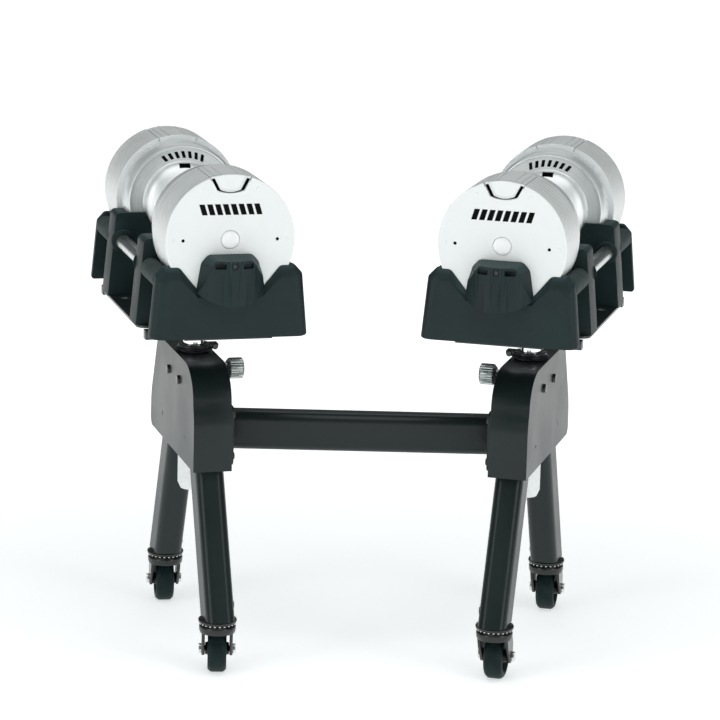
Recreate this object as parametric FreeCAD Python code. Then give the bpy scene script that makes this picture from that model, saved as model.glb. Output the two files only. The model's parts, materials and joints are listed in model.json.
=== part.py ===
"""A pair of adjustable dumbbells in docking cradles on a rolling two-column stand.

Millimetres, +Z up, the floor at Z = 0. The origin is on the floor, midway between the two columns.
+X points from the left column to the right one, +Y to the rear.

Each side is drawn in a side frame: x outwards across the cradle, y rearwards along the dumbbell, z up,
with the column on the z axis. The right side is that frame turned by YAW and moved out by COLUMN_X,
and the left side is its mirror image.
"""

import FreeCAD, Part
import math
import os

from FreeCAD import Vector

os.makedirs("parts", exist_ok=True)

# Overall layout
COLUMN_X = 235.0
YAW = 14.8
FIT = 0.08
CLEAR = 0.4

# Dumbbell
AXIS_Z = 616.0
DUMBBELL_LENGTH = 430.0
PLATE_RADIUS = 88.0
PLATE_COUNT = 7
STACK_LENGTH = 88.0
PLATE_GAP = 0.3
PLATE_EDGE = 1.2
HUB_RADIUS = 81.0
HUB_INNER_Y = 85.0
HUB_OUTER_Y = 126.7
HUB_CHAMFER = 4.0
RING_INNER_RADIUS = 56.0
RING_OUTER_RADIUS = 76.0
RING_DEPTH = 3.0
BELL_STATIONS = [(56.0, -82.0), (52.0, -76.0), (43.0, -70.0), (33.0, -65.0), (26.0, -62.0)]
BELL_END_Y = 62.0
GRIP_RADIUS = 16.5
GRIP_SWELL_RADIUS = 18.0
JOURNAL_RADIUS = 20.0
JOURNAL_END_Y = 98.0
GRIP_SHOULDER = 4.0
BAR_RADIUS = 12.0
BAR_LENGTH = 104.0
BAR_END_GAP = 7.0
BUTTON_RADIUS = 12.2
BUTTON_THICKNESS = 4.0
WINDOW_WIDTH = 16.0
WINDOW_Y = (-82.0, -74.0)
WINDOW_Z = (663.0, 673.0)
NOTCH_TOP_HALF = 31.0
NOTCH_BOTTOM_HALF = 18.5
NOTCH_TOP = 90.0
NOTCH_BOTTOM = 67.0
NOTCH_DEPTH = 4.0
FACE_HOLE_X = 64.0
FACE_HOLE_RADIUS = 2.3
FACE_HOLE_DEPTH = 5.0

# Cradle
TRAY_TOP = 484.0
TRAY_THICKNESS = 3.5
TRAY_HALF_WIDTH = 106.0
TRAY_HALF_LENGTH = 128.0
TRAY_CORNER = 14.0
TONGUE_HALF_WIDTH = 60.0
TONGUE_HALF_LENGTH = 214.0
EAR_Y = 153.0
EAR_HALF = 7.0
EAR_DROP = 9.0
EAR_WIDTH = 14.0
EAR_OUTER_X = 102.0
TRAY_HOLE_X = 88.0
TRAY_HOLE_Y = 62.0
TRAY_HOLE_RADIUS = 7.0
TRAY_BOLT_X = 70.0
TRAY_BOLT_RADIUS = 3.0
TRAY_BOLT_HEAD_RADIUS = 5.5
TRAY_BOLT_HEAD = 4.0
WALL_OUTER_Y = 222.5
WALL_THICKNESS = 20.0
WALL_FOOT_HALF = 108.0
WALL_SHOULDER_HALF = 100.0
SHOULDER_Z = 568.0
SHOULDER_TOP_Z = 581.0
SHOULDER_TOP_X = (66.0, 86.0)
SHOULDER_SLOPE_Z = 562.0
SHOULDER_FLAT = 4.0
VALLEY_Z = 546.0
VALLEY_HALF = 40.0
WALL_CORNER = 13.0
LOCK_TOP_Z = 597.0
LOCK_UNDER_Z = 531.0
LOCK_HALF_WIDTHS = [(27.0, 597.0), (38.0, 588.0), (44.0, 546.0), (45.0, 531.0)]
LOCK_HALF = 45.0
LOCK_BULGE = 26.0
LOCK_BULGE_FLATNESS = 8.0
SLOT_X = 16.0
SLOT_HALF_WIDTH = 7.0
SLOT_DEPTH = 9.0
SLOT_Z = (582.0, 587.0)
DIVIDER_INNER_Y = 79.0
DIVIDER_OUTER_Y = 121.0
DIVIDER_TOP_Z = 602.0
DIVIDER_TOP_HALF = 97.0
DIVIDER_FOOT_HALF = 108.0
DIVIDER_CORNER = 9.0
LIP_THICKNESS = 5.5
RAIL_X = 87.5
RAIL_Z = 562.0
RAIL_RADIUS = 10.0
RAIL_HALF_LENGTH = 209.0
SLEEVE_RADIUS = 14.4

# Column
POST_RADIUS = 15.5
POST_WALL = 3.0
POST_BOTTOM = 232.0
POST_FLANGE_RADIUS = 38.0
POST_FLANGE_THICKNESS = 6.0
KEYWAY_WIDTH = 5.4
KEYWAY_DEPTH = 2.0
KEYWAY_TOP = 462.0
GUIDE_RADIUS = 20.5
GUIDE_BOTTOM = 222.0
GUIDE_CHAMFER = 9.0
GUIDE_FOOT = 4.0
COLLAR_RADIUS = 22.5
COLLAR_FLARE_RADIUS = 26.5
COLLAR_FLARE_TOP = 425.0
COLLAR_TOP = 430.0
LUG_REACH = 11.0
LUG_HALF = 8.0
SPLIT_HALF = 1.0
KNOB_Z = 392.0
KNOB_RADIUS = 15.0
KNOB_INNER_X = -46.0
KNOB_OUTER_X = -70.0
KNOB_EDGE = 2.0
KNOB_NECK_RADIUS = 10.0
KNOB_NECK = 4.0
KNOB_SHAFT_RADIUS = 4.0
KNOB_TIP_RADIUS = 2.2
KNURL_COUNT = 16
KNURL_RADIUS = 1.3
KNURL_OFFSET = 0.4

# Housing at the top of each pair of legs
CHEEK_OUTER_X = 28.0
CHEEK_INNER_X = -26.0
SHELL_WALL = 3.5
HOUSING_FRONT_Y = -135.0
HOUSING_BOTTOM_Z = 278.0
HOUSING_TOP_Z = 420.0
SHOULDER_START = (-128.0, 372.0)
SHOULDER_END = (-70.0, 420.0)
HOUSING_REAR = [(112.0, 420.0), (121.0, 403.0), (140.0, 361.0), (152.0, 335.0)]
HEEL_CENTRE = (146.0, 290.0)
HEEL_RADIUS = 12.0
ARC_STEPS = 8
MOUTH_Y = (-131.0, 146.0)
MOUTH_Z = (270.0, 300.0)
FLANGE_THICKNESS = 6.0
FLANGE_HALF_LENGTH = 118.0
FLANGE_BOTTOM = 281.0
FLANGE_TOP = 364.0
FLANGE_CORNER = 8.0
FLANGE_BOLT_Y = 108.0
FLANGE_BOLT_INSET = 12.0
FLANGE_BOLT_RADIUS = 3.0
HOUSING_BOLT_Y = 34.0
HOUSING_BOLT_Z = 386.0
HOUSING_BOLT_RADIUS = 3.5
HOUSING_BOLT_GRIP = 6.5
BOLT_HEAD_RATIO = 1.7

# Legs and crossbar, both of the same rounded tube
TUBE_WIDE = 55.0
TUBE_NARROW = 40.0
TUBE_CORNER = 13.0
TUBE_WALL = 2.5
LEG_TOP_Y = 84.0
LEG_TOP_Z = 292.0
LEG_FOOT_Y = 176.0
LEG_FOOT_Z = 83.0
LEG_TOP_CUT = 340.0
LEG_BOLT_INSET = 8.0
LEG_BOLT_Z = 312.0
LEG_BOLT_RADIUS = 4.0
FOOT_BOLT_Z = 98.0
FOOT_BOLT_RADIUS = 3.5
FOOT_BOLT_GRIP = 5.0
LEG_STOCK = 400.0
LEG_STOCK_BELOW = 30.0
PLUG_HEIGHT = 8.0
CROSSBAR_Z = 309.0

# Casters
MOUNT_UNDER_Z = 76.0
MOUNT_RADIUS = 26.0
MOUNT_EDGES = (3.0, 1.0, 2.0)
FORK_TOP_Z = 75.6
FORK_CAP = 6.0
FORK_RADIUS = 25.5
CHEEK_GAP = 17.0
CHEEK_THICK = 4.5
CHEEK_OUTLINE = [
    (-15.0, 74.6),
    (17.0, 74.6),
    (29.0, 44.0),
    (29.0, 27.5),
    (24.0, 23.5),
    (16.0, 23.5),
    (-6.0, 52.0),
]
KINGPIN_RADIUS = 5.0
WHEEL_RADIUS = 32.5
WHEEL_HALF_WIDTH = 13.0
WHEEL_BEVEL = (3.0, 4.0)
WHEEL_RIM_INNER = 23.5
WHEEL_DISH_RADII = (20.5, 11.0)
WHEEL_DISH = 4.0
WHEEL_HUB_RADIUS = 8.0
WHEEL_TRAIL = 20.0
AXLE_RADIUS = 4.0
AXLE_HEAD_RADIUS = 7.0
AXLE_HEAD = 4.0

Z_AXIS = Vector(0, 0, 1)


# ---------------------------------------------------------------- shared shapes

def box(x_range, y_range, z_range):
    """A block between two values on each axis."""
    size = [high - low for low, high in (x_range, y_range, z_range)]
    return Part.makeBox(*size, Vector(x_range[0], y_range[0], z_range[0]))


def rod(radius, start, end):
    """A round bar from one point to another."""
    along = Vector(*end) - Vector(*start)
    return Part.makeCylinder(radius, along.Length, Vector(*start), along)


def pipe(radius, bore, start, end):
    """A round tube from one point to another."""
    return rod(radius, start, end).cut(rod(bore, start, end))


def polygon_face(points):
    """A flat face with the given corners."""
    corners = [Vector(*point) for point in points]
    return Part.Face(Part.makePolygon(corners + corners[:1]))


def plate_xz(points, y_range):
    """An outline in x and z, given thickness along y."""
    face = polygon_face([(x, y_range[0], z) for x, z in points])
    return face.extrude(Vector(0, y_range[1] - y_range[0], 0))


def plate_yz(points, x_range):
    """An outline in y and z, given thickness along x."""
    face = polygon_face([(x_range[0], y, z) for y, z in points])
    return face.extrude(Vector(x_range[1] - x_range[0], 0, 0))


def turned(points, centre, axis):
    """A solid of revolution: points are (radius, distance along axis) from centre."""
    side = Vector(0, 0, 1) if abs(axis.z) < 0.5 else Vector(1, 0, 0)
    corners = [centre + side * radius + axis * along for radius, along in points]
    face = Part.Face(Part.makePolygon(corners + corners[:1]))
    return face.revolve(centre, axis, 360)


def rounded_bar(width, depth, corner, length):
    """A bar along z from the origin, with a rounded rectangular section centred on z."""
    bar = box((-width / 2, width / 2), (-depth / 2, depth / 2), (0, length))
    upright = [edge for edge in bar.Edges if abs(edge.tangentAt(edge.FirstParameter).z) > 0.9]
    return bar.makeFillet(corner, upright)


def rounded_tube(width, depth, corner, wall, length):
    """A hollow rounded rectangular tube along z from the origin."""
    outer = rounded_bar(width, depth, corner, length)
    return outer.cut(rounded_bar(width - 2 * wall, depth - 2 * wall, corner - wall, length))


def both_halves(half):
    """A whole outline in x and z from its half on the +x side, listed from one end to the other."""
    return half + [(-x, z) for x, z in reversed(half)]


def mirror_y(shape):
    """The same shape, front to back."""
    return shape.mirror(Vector(0, 0, 0), Vector(0, 1, 0))


def both_ends(shape):
    """A shape and its front-to-back mirror image, as separate solids."""
    return Part.makeCompound([shape, mirror_y(shape)])


def to_right(shape):
    """A side-frame shape, placed on the right side."""
    placed = shape.copy()
    placed.rotate(Vector(0, 0, 0), Z_AXIS, -YAW)
    placed.translate(Vector(COLUMN_X, 0, 0))
    return placed


def to_left(shape):
    """A side-frame shape, placed on the left side."""
    return to_right(shape).mirror(Vector(0, 0, 0), Vector(1, 0, 0))


def save(name, shape):
    """Writes one sub-part."""
    if not shape.isValid():
        print("INVALID", name)
    shape.exportStep("parts/" + name + ".step")


def save_both(name, shape):
    """Writes a side-frame shape for the right side and for the left."""
    save(name + "_right", to_right(shape))
    save(name + "_left", to_left(shape))


# ---------------------------------------------------------------- dumbbell

def plate_stack():
    """The front stack of round plates, each a separate solid, with the bore for the locking bar."""
    pitch = STACK_LENGTH / PLATE_COUNT
    thickness = pitch - PLATE_GAP
    front = -DUMBBELL_LENGTH / 2
    centre = Vector(0, 0, AXIS_Z)
    bore = BAR_RADIUS + FIT
    plates = []
    for index in range(PLATE_COUNT):
        low = front + index * pitch
        high = low + thickness
        section = [
            (bore, low),
            (PLATE_RADIUS - PLATE_EDGE, low),
            (PLATE_RADIUS, low + PLATE_EDGE),
            (PLATE_RADIUS, high - PLATE_EDGE),
            (PLATE_RADIUS - PLATE_EDGE, high),
            (bore, high),
        ]
        plates.append(turned(section, centre, Vector(0, 1, 0)))
    plates[0] = finish_end_plate(plates[0], front)
    return Part.makeCompound(plates)


def finish_end_plate(plate, front):
    """The outermost plate: a seat for the end button, the coupling notch and two small holes."""
    seat = rod(BUTTON_RADIUS + FIT, (0, front - 1, AXIS_Z), (0, front + BUTTON_THICKNESS, AXIS_Z))
    notch_points = [
        (-NOTCH_TOP_HALF, AXIS_Z + NOTCH_TOP),
        (NOTCH_TOP_HALF, AXIS_Z + NOTCH_TOP),
        (NOTCH_BOTTOM_HALF, AXIS_Z + NOTCH_BOTTOM),
        (-NOTCH_BOTTOM_HALF, AXIS_Z + NOTCH_BOTTOM),
    ]
    plate = plate.cut(seat).cut(plate_xz(notch_points, (front - 1, front + NOTCH_DEPTH)))
    for x in (-FACE_HOLE_X, FACE_HOLE_X):
        hole = rod(FACE_HOLE_RADIUS, (x, front - 1, AXIS_Z), (x, front + FACE_HOLE_DEPTH, AXIS_Z))
        plate = plate.cut(hole)
    return plate


def end_button():
    """The cap in the middle of the front end plate."""
    front = -DUMBBELL_LENGTH / 2
    return rod(BUTTON_RADIUS, (0, front, AXIS_Z), (0, front + BUTTON_THICKNESS - FIT, AXIS_Z))


def hub():
    """The front hub: a drum beside the plates with a bell that narrows towards the grip."""
    journal = JOURNAL_RADIUS + FIT
    bore = BAR_RADIUS + FIT
    section = [
        (bore, -HUB_OUTER_Y),
        (HUB_RADIUS, -HUB_OUTER_Y),
        (HUB_RADIUS, -HUB_INNER_Y - HUB_CHAMFER),
        (HUB_RADIUS - HUB_CHAMFER, -HUB_INNER_Y),
        (RING_OUTER_RADIUS, -HUB_INNER_Y),
        (RING_OUTER_RADIUS, -HUB_INNER_Y - RING_DEPTH),
        (RING_INNER_RADIUS, -HUB_INNER_Y - RING_DEPTH),
        *BELL_STATIONS,
        (journal, -BELL_END_Y),
        (journal, -JOURNAL_END_Y - CLEAR),
        (bore, -JOURNAL_END_Y - CLEAR),
    ]
    body = turned(section, Vector(0, 0, AXIS_Z), Vector(0, 1, 0))
    return body.cut(box((-WINDOW_WIDTH / 2, WINDOW_WIDTH / 2), WINDOW_Y, WINDOW_Z))


def grip():
    """The turning handle tube, with a journal at each end that runs in a hub."""
    half = BELL_END_Y - CLEAR
    bore = BAR_RADIUS + FIT
    section = [
        (bore, -JOURNAL_END_Y),
        (JOURNAL_RADIUS, -JOURNAL_END_Y),
        (JOURNAL_RADIUS, -half),
        (GRIP_RADIUS, -half + GRIP_SHOULDER),
        (GRIP_SWELL_RADIUS, -half / 3),
        (GRIP_SWELL_RADIUS, half / 3),
        (GRIP_RADIUS, half - GRIP_SHOULDER),
        (JOURNAL_RADIUS, half),
        (JOURNAL_RADIUS, JOURNAL_END_Y),
        (bore, JOURNAL_END_Y),
    ]
    return turned(section, Vector(0, 0, AXIS_Z), Vector(0, 1, 0))


def lock_bar():
    """The front locking bar, run right out through the stack."""
    start = -DUMBBELL_LENGTH / 2 + BAR_END_GAP
    return rod(BAR_RADIUS, (0, start, AXIS_Z), (0, start + BAR_LENGTH, AXIS_Z))


def dumbbell():
    """Every node of one dumbbell, in the side frame."""
    stack = plate_stack()
    return {
        "plates_front": stack,
        "plates_rear": mirror_y(stack),
        "end_buttons": both_ends(end_button()),
        "hubs": both_ends(hub()),
        "grip": grip(),
        "lock_bar_front": lock_bar(),
        "lock_bar_rear": mirror_y(lock_bar()),
    }


# ---------------------------------------------------------------- cradle

def rail(x, half_length, radius):
    """A round bar at the height of the rails, centred end to end."""
    return rod(radius, (x, -half_length, RAIL_Z), (x, half_length, RAIL_Z))


def rails():
    """The two round rails that run from end wall to end wall."""
    return Part.makeCompound([rail(x, RAIL_HALF_LENGTH, RAIL_RADIUS) for x in (-RAIL_X, RAIL_X)])


def rail_sleeves():
    """The four ribbed sleeves on the rails that the plate stacks lie on."""
    inner_y = DIVIDER_OUTER_Y + FIT
    outer_y = WALL_OUTER_Y - WALL_THICKNESS - FIT
    sleeves = []
    for x in (-RAIL_X, RAIL_X):
        for sign in (-1, 1):
            ends = [(x, sign * inner_y, RAIL_Z), (x, sign * outer_y, RAIL_Z)]
            sleeves.append(pipe(SLEEVE_RADIUS, RAIL_RADIUS + FIT, *ends))
    return Part.makeCompound(sleeves)


def lock_block():
    """The bulging block in the middle of the front wall that the end of the dumbbell docks against."""
    outline = both_halves(LOCK_HALF_WIDTHS)
    front = -WALL_OUTER_Y - LOCK_BULGE
    back = -DUMBBELL_LENGTH / 2 - CLEAR
    block = plate_xz(outline, (front, back))
    bulge_radius = (LOCK_HALF**2 + LOCK_BULGE**2) / (2 * LOCK_BULGE) + LOCK_BULGE_FLATNESS
    bulge_centre = front + bulge_radius
    block = block.common(rod(bulge_radius, (0, bulge_centre, LOCK_UNDER_Z), (0, bulge_centre, LOCK_TOP_Z)))
    for x in (-SLOT_X, SLOT_X):
        slot = box((x - SLOT_HALF_WIDTH, x + SLOT_HALF_WIDTH), (front - 1, front + SLOT_DEPTH), SLOT_Z)
        block = block.cut(slot)
    return block


def end_wall():
    """The front end wall: two shoulders beside the plates, two notches and the lock block."""
    inner_y = -WALL_OUTER_Y + WALL_THICKNESS
    half = [
        (WALL_FOOT_HALF, TRAY_TOP),
        (WALL_SHOULDER_HALF, SHOULDER_Z),
        (SHOULDER_TOP_X[1], SHOULDER_TOP_Z),
        (SHOULDER_TOP_X[0], SHOULDER_TOP_Z),
        (VALLEY_HALF, VALLEY_Z),
    ]
    slab = plate_xz(both_halves(half), (-WALL_OUTER_Y, inner_y))
    corners = [edge for edge in slab.Edges if is_outer_corner(edge)]
    slab = slab.makeFillet(WALL_CORNER, corners)
    slope = [
        (-WALL_OUTER_Y - 1, SHOULDER_SLOPE_Z),
        (-WALL_OUTER_Y - 1, SHOULDER_TOP_Z + 1),
        (inner_y - SHOULDER_FLAT, SHOULDER_TOP_Z + 1),
    ]
    slab = slab.cut(plate_yz(slope, (-WALL_FOOT_HALF, WALL_FOOT_HALF)))
    seat_y = -DUMBBELL_LENGTH / 2 - CLEAR
    seat = rod(PLATE_RADIUS + CLEAR, (0, seat_y, AXIS_Z), (0, inner_y + 1, AXIS_Z))
    wall = slab.fuse(lock_block()).cut(seat)
    for x in (-RAIL_X, RAIL_X):
        wall = wall.cut(rail(x, RAIL_HALF_LENGTH + FIT, RAIL_RADIUS + FIT))
    return wall


def is_outer_corner(edge):
    """True for the two long outer edges of the front face of an end wall."""
    middle = edge.CenterOfMass
    steep = abs(middle.z - (TRAY_TOP + SHOULDER_Z) / 2) < 1
    return steep and abs(middle.y + WALL_OUTER_Y) < 1 and abs(middle.x) > WALL_SHOULDER_HALF


def divider():
    """The front inner wall: a saddle for the hub drum, and a lip that reaches in beside the bell."""
    outline = [
        (-DIVIDER_FOOT_HALF, TRAY_TOP),
        (-DIVIDER_TOP_HALF, DIVIDER_TOP_Z),
        (DIVIDER_TOP_HALF, DIVIDER_TOP_Z),
        (DIVIDER_FOOT_HALF, TRAY_TOP),
    ]
    slab = plate_xz(outline, (-DIVIDER_OUTER_Y, -DIVIDER_INNER_Y))
    tops = [edge for edge in slab.Edges if is_top_corner(edge)]
    slab = slab.makeFillet(DIVIDER_CORNER, tops)
    lip_y = -DIVIDER_INNER_Y - LIP_THICKNESS
    saddle = rod(HUB_RADIUS + CLEAR, (0, -DIVIDER_OUTER_Y - 1, AXIS_Z), (0, lip_y, AXIS_Z))
    throat = rod(RING_INNER_RADIUS + 1, (0, lip_y - 1, AXIS_Z), (0, -DIVIDER_INNER_Y + 1, AXIS_Z))
    slab = slab.cut(saddle).cut(throat)
    for x in (-RAIL_X, RAIL_X):
        slab = slab.cut(rail(x, RAIL_HALF_LENGTH, RAIL_RADIUS + FIT))
    return slab


def is_top_corner(edge):
    """True for the two edges along y at the top corners of a divider."""
    middle = edge.CenterOfMass
    return abs(middle.z - DIVIDER_TOP_Z) < 1 and abs(abs(middle.x) - DIVIDER_TOP_HALF) < 1


def tray():
    """The steel base plate under the dividers, with a tongue under each end wall."""
    under = TRAY_TOP - TRAY_THICKNESS
    plate = rounded_bar(2 * TRAY_HALF_WIDTH, 2 * TRAY_HALF_LENGTH, TRAY_CORNER, TRAY_THICKNESS)
    plate.translate(Vector(0, 0, under))
    tongue_x = (-TONGUE_HALF_WIDTH, TONGUE_HALF_WIDTH)
    plate = plate.fuse(box(tongue_x, (-TONGUE_HALF_LENGTH, TONGUE_HALF_LENGTH), (under, TRAY_TOP)))
    for sign in (-1, 1):
        strap_y = sorted((sign * (EAR_Y - EAR_HALF), sign * (EAR_Y + EAR_HALF)))
        plate = plate.fuse(box((-EAR_OUTER_X, EAR_OUTER_X), strap_y, (under, TRAY_TOP)))
        for x in (-EAR_OUTER_X, EAR_OUTER_X - EAR_WIDTH):
            plate = plate.fuse(box((x, x + EAR_WIDTH), strap_y, (under - EAR_DROP, TRAY_TOP)))
    for x in (-TRAY_HOLE_X, TRAY_HOLE_X):
        for y in (-TRAY_HOLE_Y, TRAY_HOLE_Y):
            plate = plate.cut(rod(TRAY_HOLE_RADIUS, (x, y, under - 1), (x, y, TRAY_TOP + 1)))
    for x, y in tray_bolt_places():
        plate = plate.cut(rod(TRAY_BOLT_RADIUS + FIT, (x, y, under - 1), (x, y, TRAY_TOP + 1)))
    return plate.removeSplitter()


def tray_bolt_places():
    """Where the tray is bolted to the dividers, side by side."""
    middle = (DIVIDER_INNER_Y + DIVIDER_OUTER_Y) / 2
    return [(x, y) for x in (-TRAY_BOLT_X, TRAY_BOLT_X) for y in (-middle, middle)]


def tray_bolts():
    """Round-headed bolts under the tray, with their shanks in the tray."""
    under = TRAY_TOP - TRAY_THICKNESS
    bolts = []
    for x, y in tray_bolt_places():
        head = rod(TRAY_BOLT_HEAD_RADIUS, (x, y, under - TRAY_BOLT_HEAD), (x, y, under))
        bolts.append(head.fuse(rod(TRAY_BOLT_RADIUS, (x, y, under - 1), (x, y, TRAY_TOP))))
    return Part.makeCompound(bolts)


def cradle():
    """Every node of one cradle, in the side frame."""
    wall = end_wall()
    inner_wall = divider()
    return {
        "tray": tray(),
        "tray_bolts": tray_bolts(),
        "end_wall_front": wall,
        "end_wall_rear": mirror_y(wall),
        "divider_front": inner_wall,
        "divider_rear": mirror_y(inner_wall),
        "rails": rails(),
        "rail_sleeves": rail_sleeves(),
    }


# ---------------------------------------------------------------- column

def post():
    """The inner post: a tube with a flange under the tray and a keyway on its inner side."""
    top = TRAY_TOP - TRAY_THICKNESS
    tube = pipe(POST_RADIUS, POST_RADIUS - POST_WALL, (0, 0, POST_BOTTOM), (0, 0, top))
    flange = rod(POST_FLANGE_RADIUS, (0, 0, top - POST_FLANGE_THICKNESS), (0, 0, top))
    keyway = box(
        (-POST_RADIUS - 1, -POST_RADIUS + KEYWAY_DEPTH),
        (-KEYWAY_WIDTH / 2, KEYWAY_WIDTH / 2),
        (POST_BOTTOM - 1, KEYWAY_TOP),
    )
    return tube.fuse(flange).cut(keyway)


def guide():
    """The outer sleeve that the post slides in."""
    section = [
        (POST_RADIUS + FIT, GUIDE_BOTTOM),
        (GUIDE_RADIUS - GUIDE_FOOT, GUIDE_BOTTOM),
        (GUIDE_RADIUS, GUIDE_BOTTOM + GUIDE_CHAMFER),
        (GUIDE_RADIUS, HOUSING_TOP_Z),
        (POST_RADIUS + FIT, HOUSING_TOP_Z),
    ]
    sleeve = turned(section, Vector(0, 0, 0), Z_AXIS)
    return sleeve.cut(knob_hole())


def collar():
    """The split collar on top of the guide: a flared foot, a ring and a clamping lug on its inner side."""
    section = [
        (POST_RADIUS + FIT, HOUSING_TOP_Z),
        (COLLAR_FLARE_RADIUS, HOUSING_TOP_Z),
        (COLLAR_RADIUS, COLLAR_FLARE_TOP),
        (COLLAR_RADIUS, COLLAR_TOP),
        (POST_RADIUS + FIT, COLLAR_TOP),
    ]
    ring = turned(section, Vector(0, 0, 0), Z_AXIS)
    lug_x = (-COLLAR_RADIUS - LUG_REACH, -POST_RADIUS - KEYWAY_DEPTH)
    lug = box(lug_x, (-LUG_HALF, LUG_HALF), (HOUSING_TOP_Z, COLLAR_TOP))
    split_x = (lug_x[0] - 1, -POST_RADIUS + KEYWAY_DEPTH)
    split = box(split_x, (-SPLIT_HALF, SPLIT_HALF), (HOUSING_TOP_Z - 1, COLLAR_TOP + 1))
    return ring.fuse(lug).cut(split)


def knob_hole():
    """The hole that the knob's shaft runs in."""
    return rod(KNOB_SHAFT_RADIUS + FIT, (KNOB_OUTER_X, 0, KNOB_Z), (0, 0, KNOB_Z))


def knob():
    """The knurled clamp knob, with a shaft whose tip stands in the keyway."""
    section = [
        (0, KNOB_OUTER_X),
        (KNOB_RADIUS - KNOB_EDGE, KNOB_OUTER_X),
        (KNOB_RADIUS, KNOB_OUTER_X + KNOB_EDGE),
        (KNOB_RADIUS, KNOB_INNER_X - KNOB_NECK),
        (KNOB_NECK_RADIUS, KNOB_INNER_X),
        (KNOB_SHAFT_RADIUS, KNOB_INNER_X),
        (KNOB_SHAFT_RADIUS, -POST_RADIUS - CLEAR),
        (KNOB_TIP_RADIUS, -POST_RADIUS - CLEAR),
        (KNOB_TIP_RADIUS, -POST_RADIUS + KEYWAY_DEPTH - CLEAR),
        (0, -POST_RADIUS + KEYWAY_DEPTH - CLEAR),
    ]
    body = turned(section, Vector(0, 0, KNOB_Z), Vector(1, 0, 0))
    for index in range(KNURL_COUNT):
        angle = 2 * math.pi * index / KNURL_COUNT
        y = (KNOB_RADIUS + KNURL_OFFSET) * math.cos(angle)
        z = KNOB_Z + (KNOB_RADIUS + KNURL_OFFSET) * math.sin(angle)
        body = body.cut(rod(KNURL_RADIUS, (KNOB_OUTER_X - 1, y, z), (KNOB_INNER_X - 1, y, z)))
    return body


# ---------------------------------------------------------------- stand

def housing_outline():
    """The housing's outline in y and z: straight front, curved shoulder, flat top and leaning rear."""
    run = SHOULDER_END[0] - SHOULDER_START[0]
    rise = SHOULDER_END[1] - SHOULDER_START[1]
    shoulder = []
    heel = []
    for index in range(ARC_STEPS + 1):
        angle = math.radians(90.0 * index / ARC_STEPS)
        y = SHOULDER_START[0] + run * (1 - math.cos(angle))
        z = SHOULDER_START[1] + rise * math.sin(angle)
        shoulder.append((y, z))
        y = HEEL_CENTRE[0] + HEEL_RADIUS * math.cos(angle)
        z = HEEL_CENTRE[1] - HEEL_RADIUS * math.sin(angle)
        heel.append((y, z))
    return [(HOUSING_FRONT_Y, HOUSING_BOTTOM_Z)] + shoulder + HOUSING_REAR + heel


def inset(points, wall):
    """A flat face bounded by an outline in y and z moved inwards all round."""
    wire = Part.makePolygon([Vector(0, y, z) for y, z in points + points[:1]])
    inner = wire.makeOffset2D(-wall)
    return Part.Face(inner)


def housing():
    """The sheet-steel housing: two cheeks joined over the front, the top and the rear, open below."""
    points = housing_outline()
    outer = plate_yz(points, (CHEEK_INNER_X, CHEEK_OUTER_X))
    inside_x = (CHEEK_INNER_X + SHELL_WALL, CHEEK_OUTER_X - SHELL_WALL)
    cavity = inset(points, SHELL_WALL).extrude(Vector(inside_x[1] - inside_x[0], 0, 0))
    cavity.translate(Vector(inside_x[0], 0, 0))
    shell = outer.cut(cavity).cut(box(inside_x, MOUTH_Y, MOUTH_Z))
    guide_hole = rod(GUIDE_RADIUS + FIT, (0, 0, GUIDE_BOTTOM), (0, 0, COLLAR_TOP))
    shell = shell.cut(guide_hole).cut(knob_hole())
    for bolt in housing_bolts() + leg_bolts() + flange_bolts():
        shell = shell.cut(bolt)
    return shell


def flange():
    """The plate on the inner cheek that the crossbar is welded to."""
    x_range = (CHEEK_INNER_X - FLANGE_THICKNESS, CHEEK_INNER_X)
    plate = box(x_range, (-FLANGE_HALF_LENGTH, FLANGE_HALF_LENGTH), (FLANGE_BOTTOM, FLANGE_TOP))
    edges = [edge for edge in plate.Edges if abs(edge.tangentAt(edge.FirstParameter).x) > 0.9]
    plate = plate.makeFillet(FLANGE_CORNER, edges)
    for bolt in flange_bolts() + leg_bolts():
        plate = plate.cut(bolt)
    return plate


def cross_bolt(y, z, head_x, end_x, radius):
    """A round-headed bolt along x; its head stands out at head_x and it ends at end_x."""
    head_sign = 1 if head_x > end_x else -1
    head = rod(radius * BOLT_HEAD_RATIO, (head_x, y, z), (head_x + head_sign * radius, y, z))
    return head.fuse(rod(radius, (head_x + head_sign, y, z), (end_x, y, z)))


def flange_bolts():
    """Four bolts that hold the crossbar's plate to the inner cheek."""
    face = CHEEK_INNER_X - FLANGE_THICKNESS
    end = CHEEK_INNER_X + SHELL_WALL
    heights = (FLANGE_BOTTOM + FLANGE_BOLT_INSET, FLANGE_TOP - FLANGE_BOLT_INSET)
    places = [(y, z) for y in (-FLANGE_BOLT_Y, FLANGE_BOLT_Y) for z in heights]
    return [cross_bolt(y, z, face, end, FLANGE_BOLT_RADIUS) for y, z in places]


def housing_bolts():
    """The two bolts high on the outer cheek, beside the guide."""
    end = CHEEK_OUTER_X - HOUSING_BOLT_GRIP
    places = (-HOUSING_BOLT_Y, HOUSING_BOLT_Y)
    return [cross_bolt(y, HOUSING_BOLT_Z, CHEEK_OUTER_X, end, HOUSING_BOLT_RADIUS) for y in places]


def leg_bolts():
    """Bolts across the housing that hold the tops of the legs."""
    face = CHEEK_INNER_X - FLANGE_THICKNESS
    places = (LEG_BOLT_INSET - LEG_TOP_Y, LEG_TOP_Y - LEG_BOLT_INSET)
    return [cross_bolt(y, LEG_BOLT_Z, face, CHEEK_OUTER_X, LEG_BOLT_RADIUS) for y in places]


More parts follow.
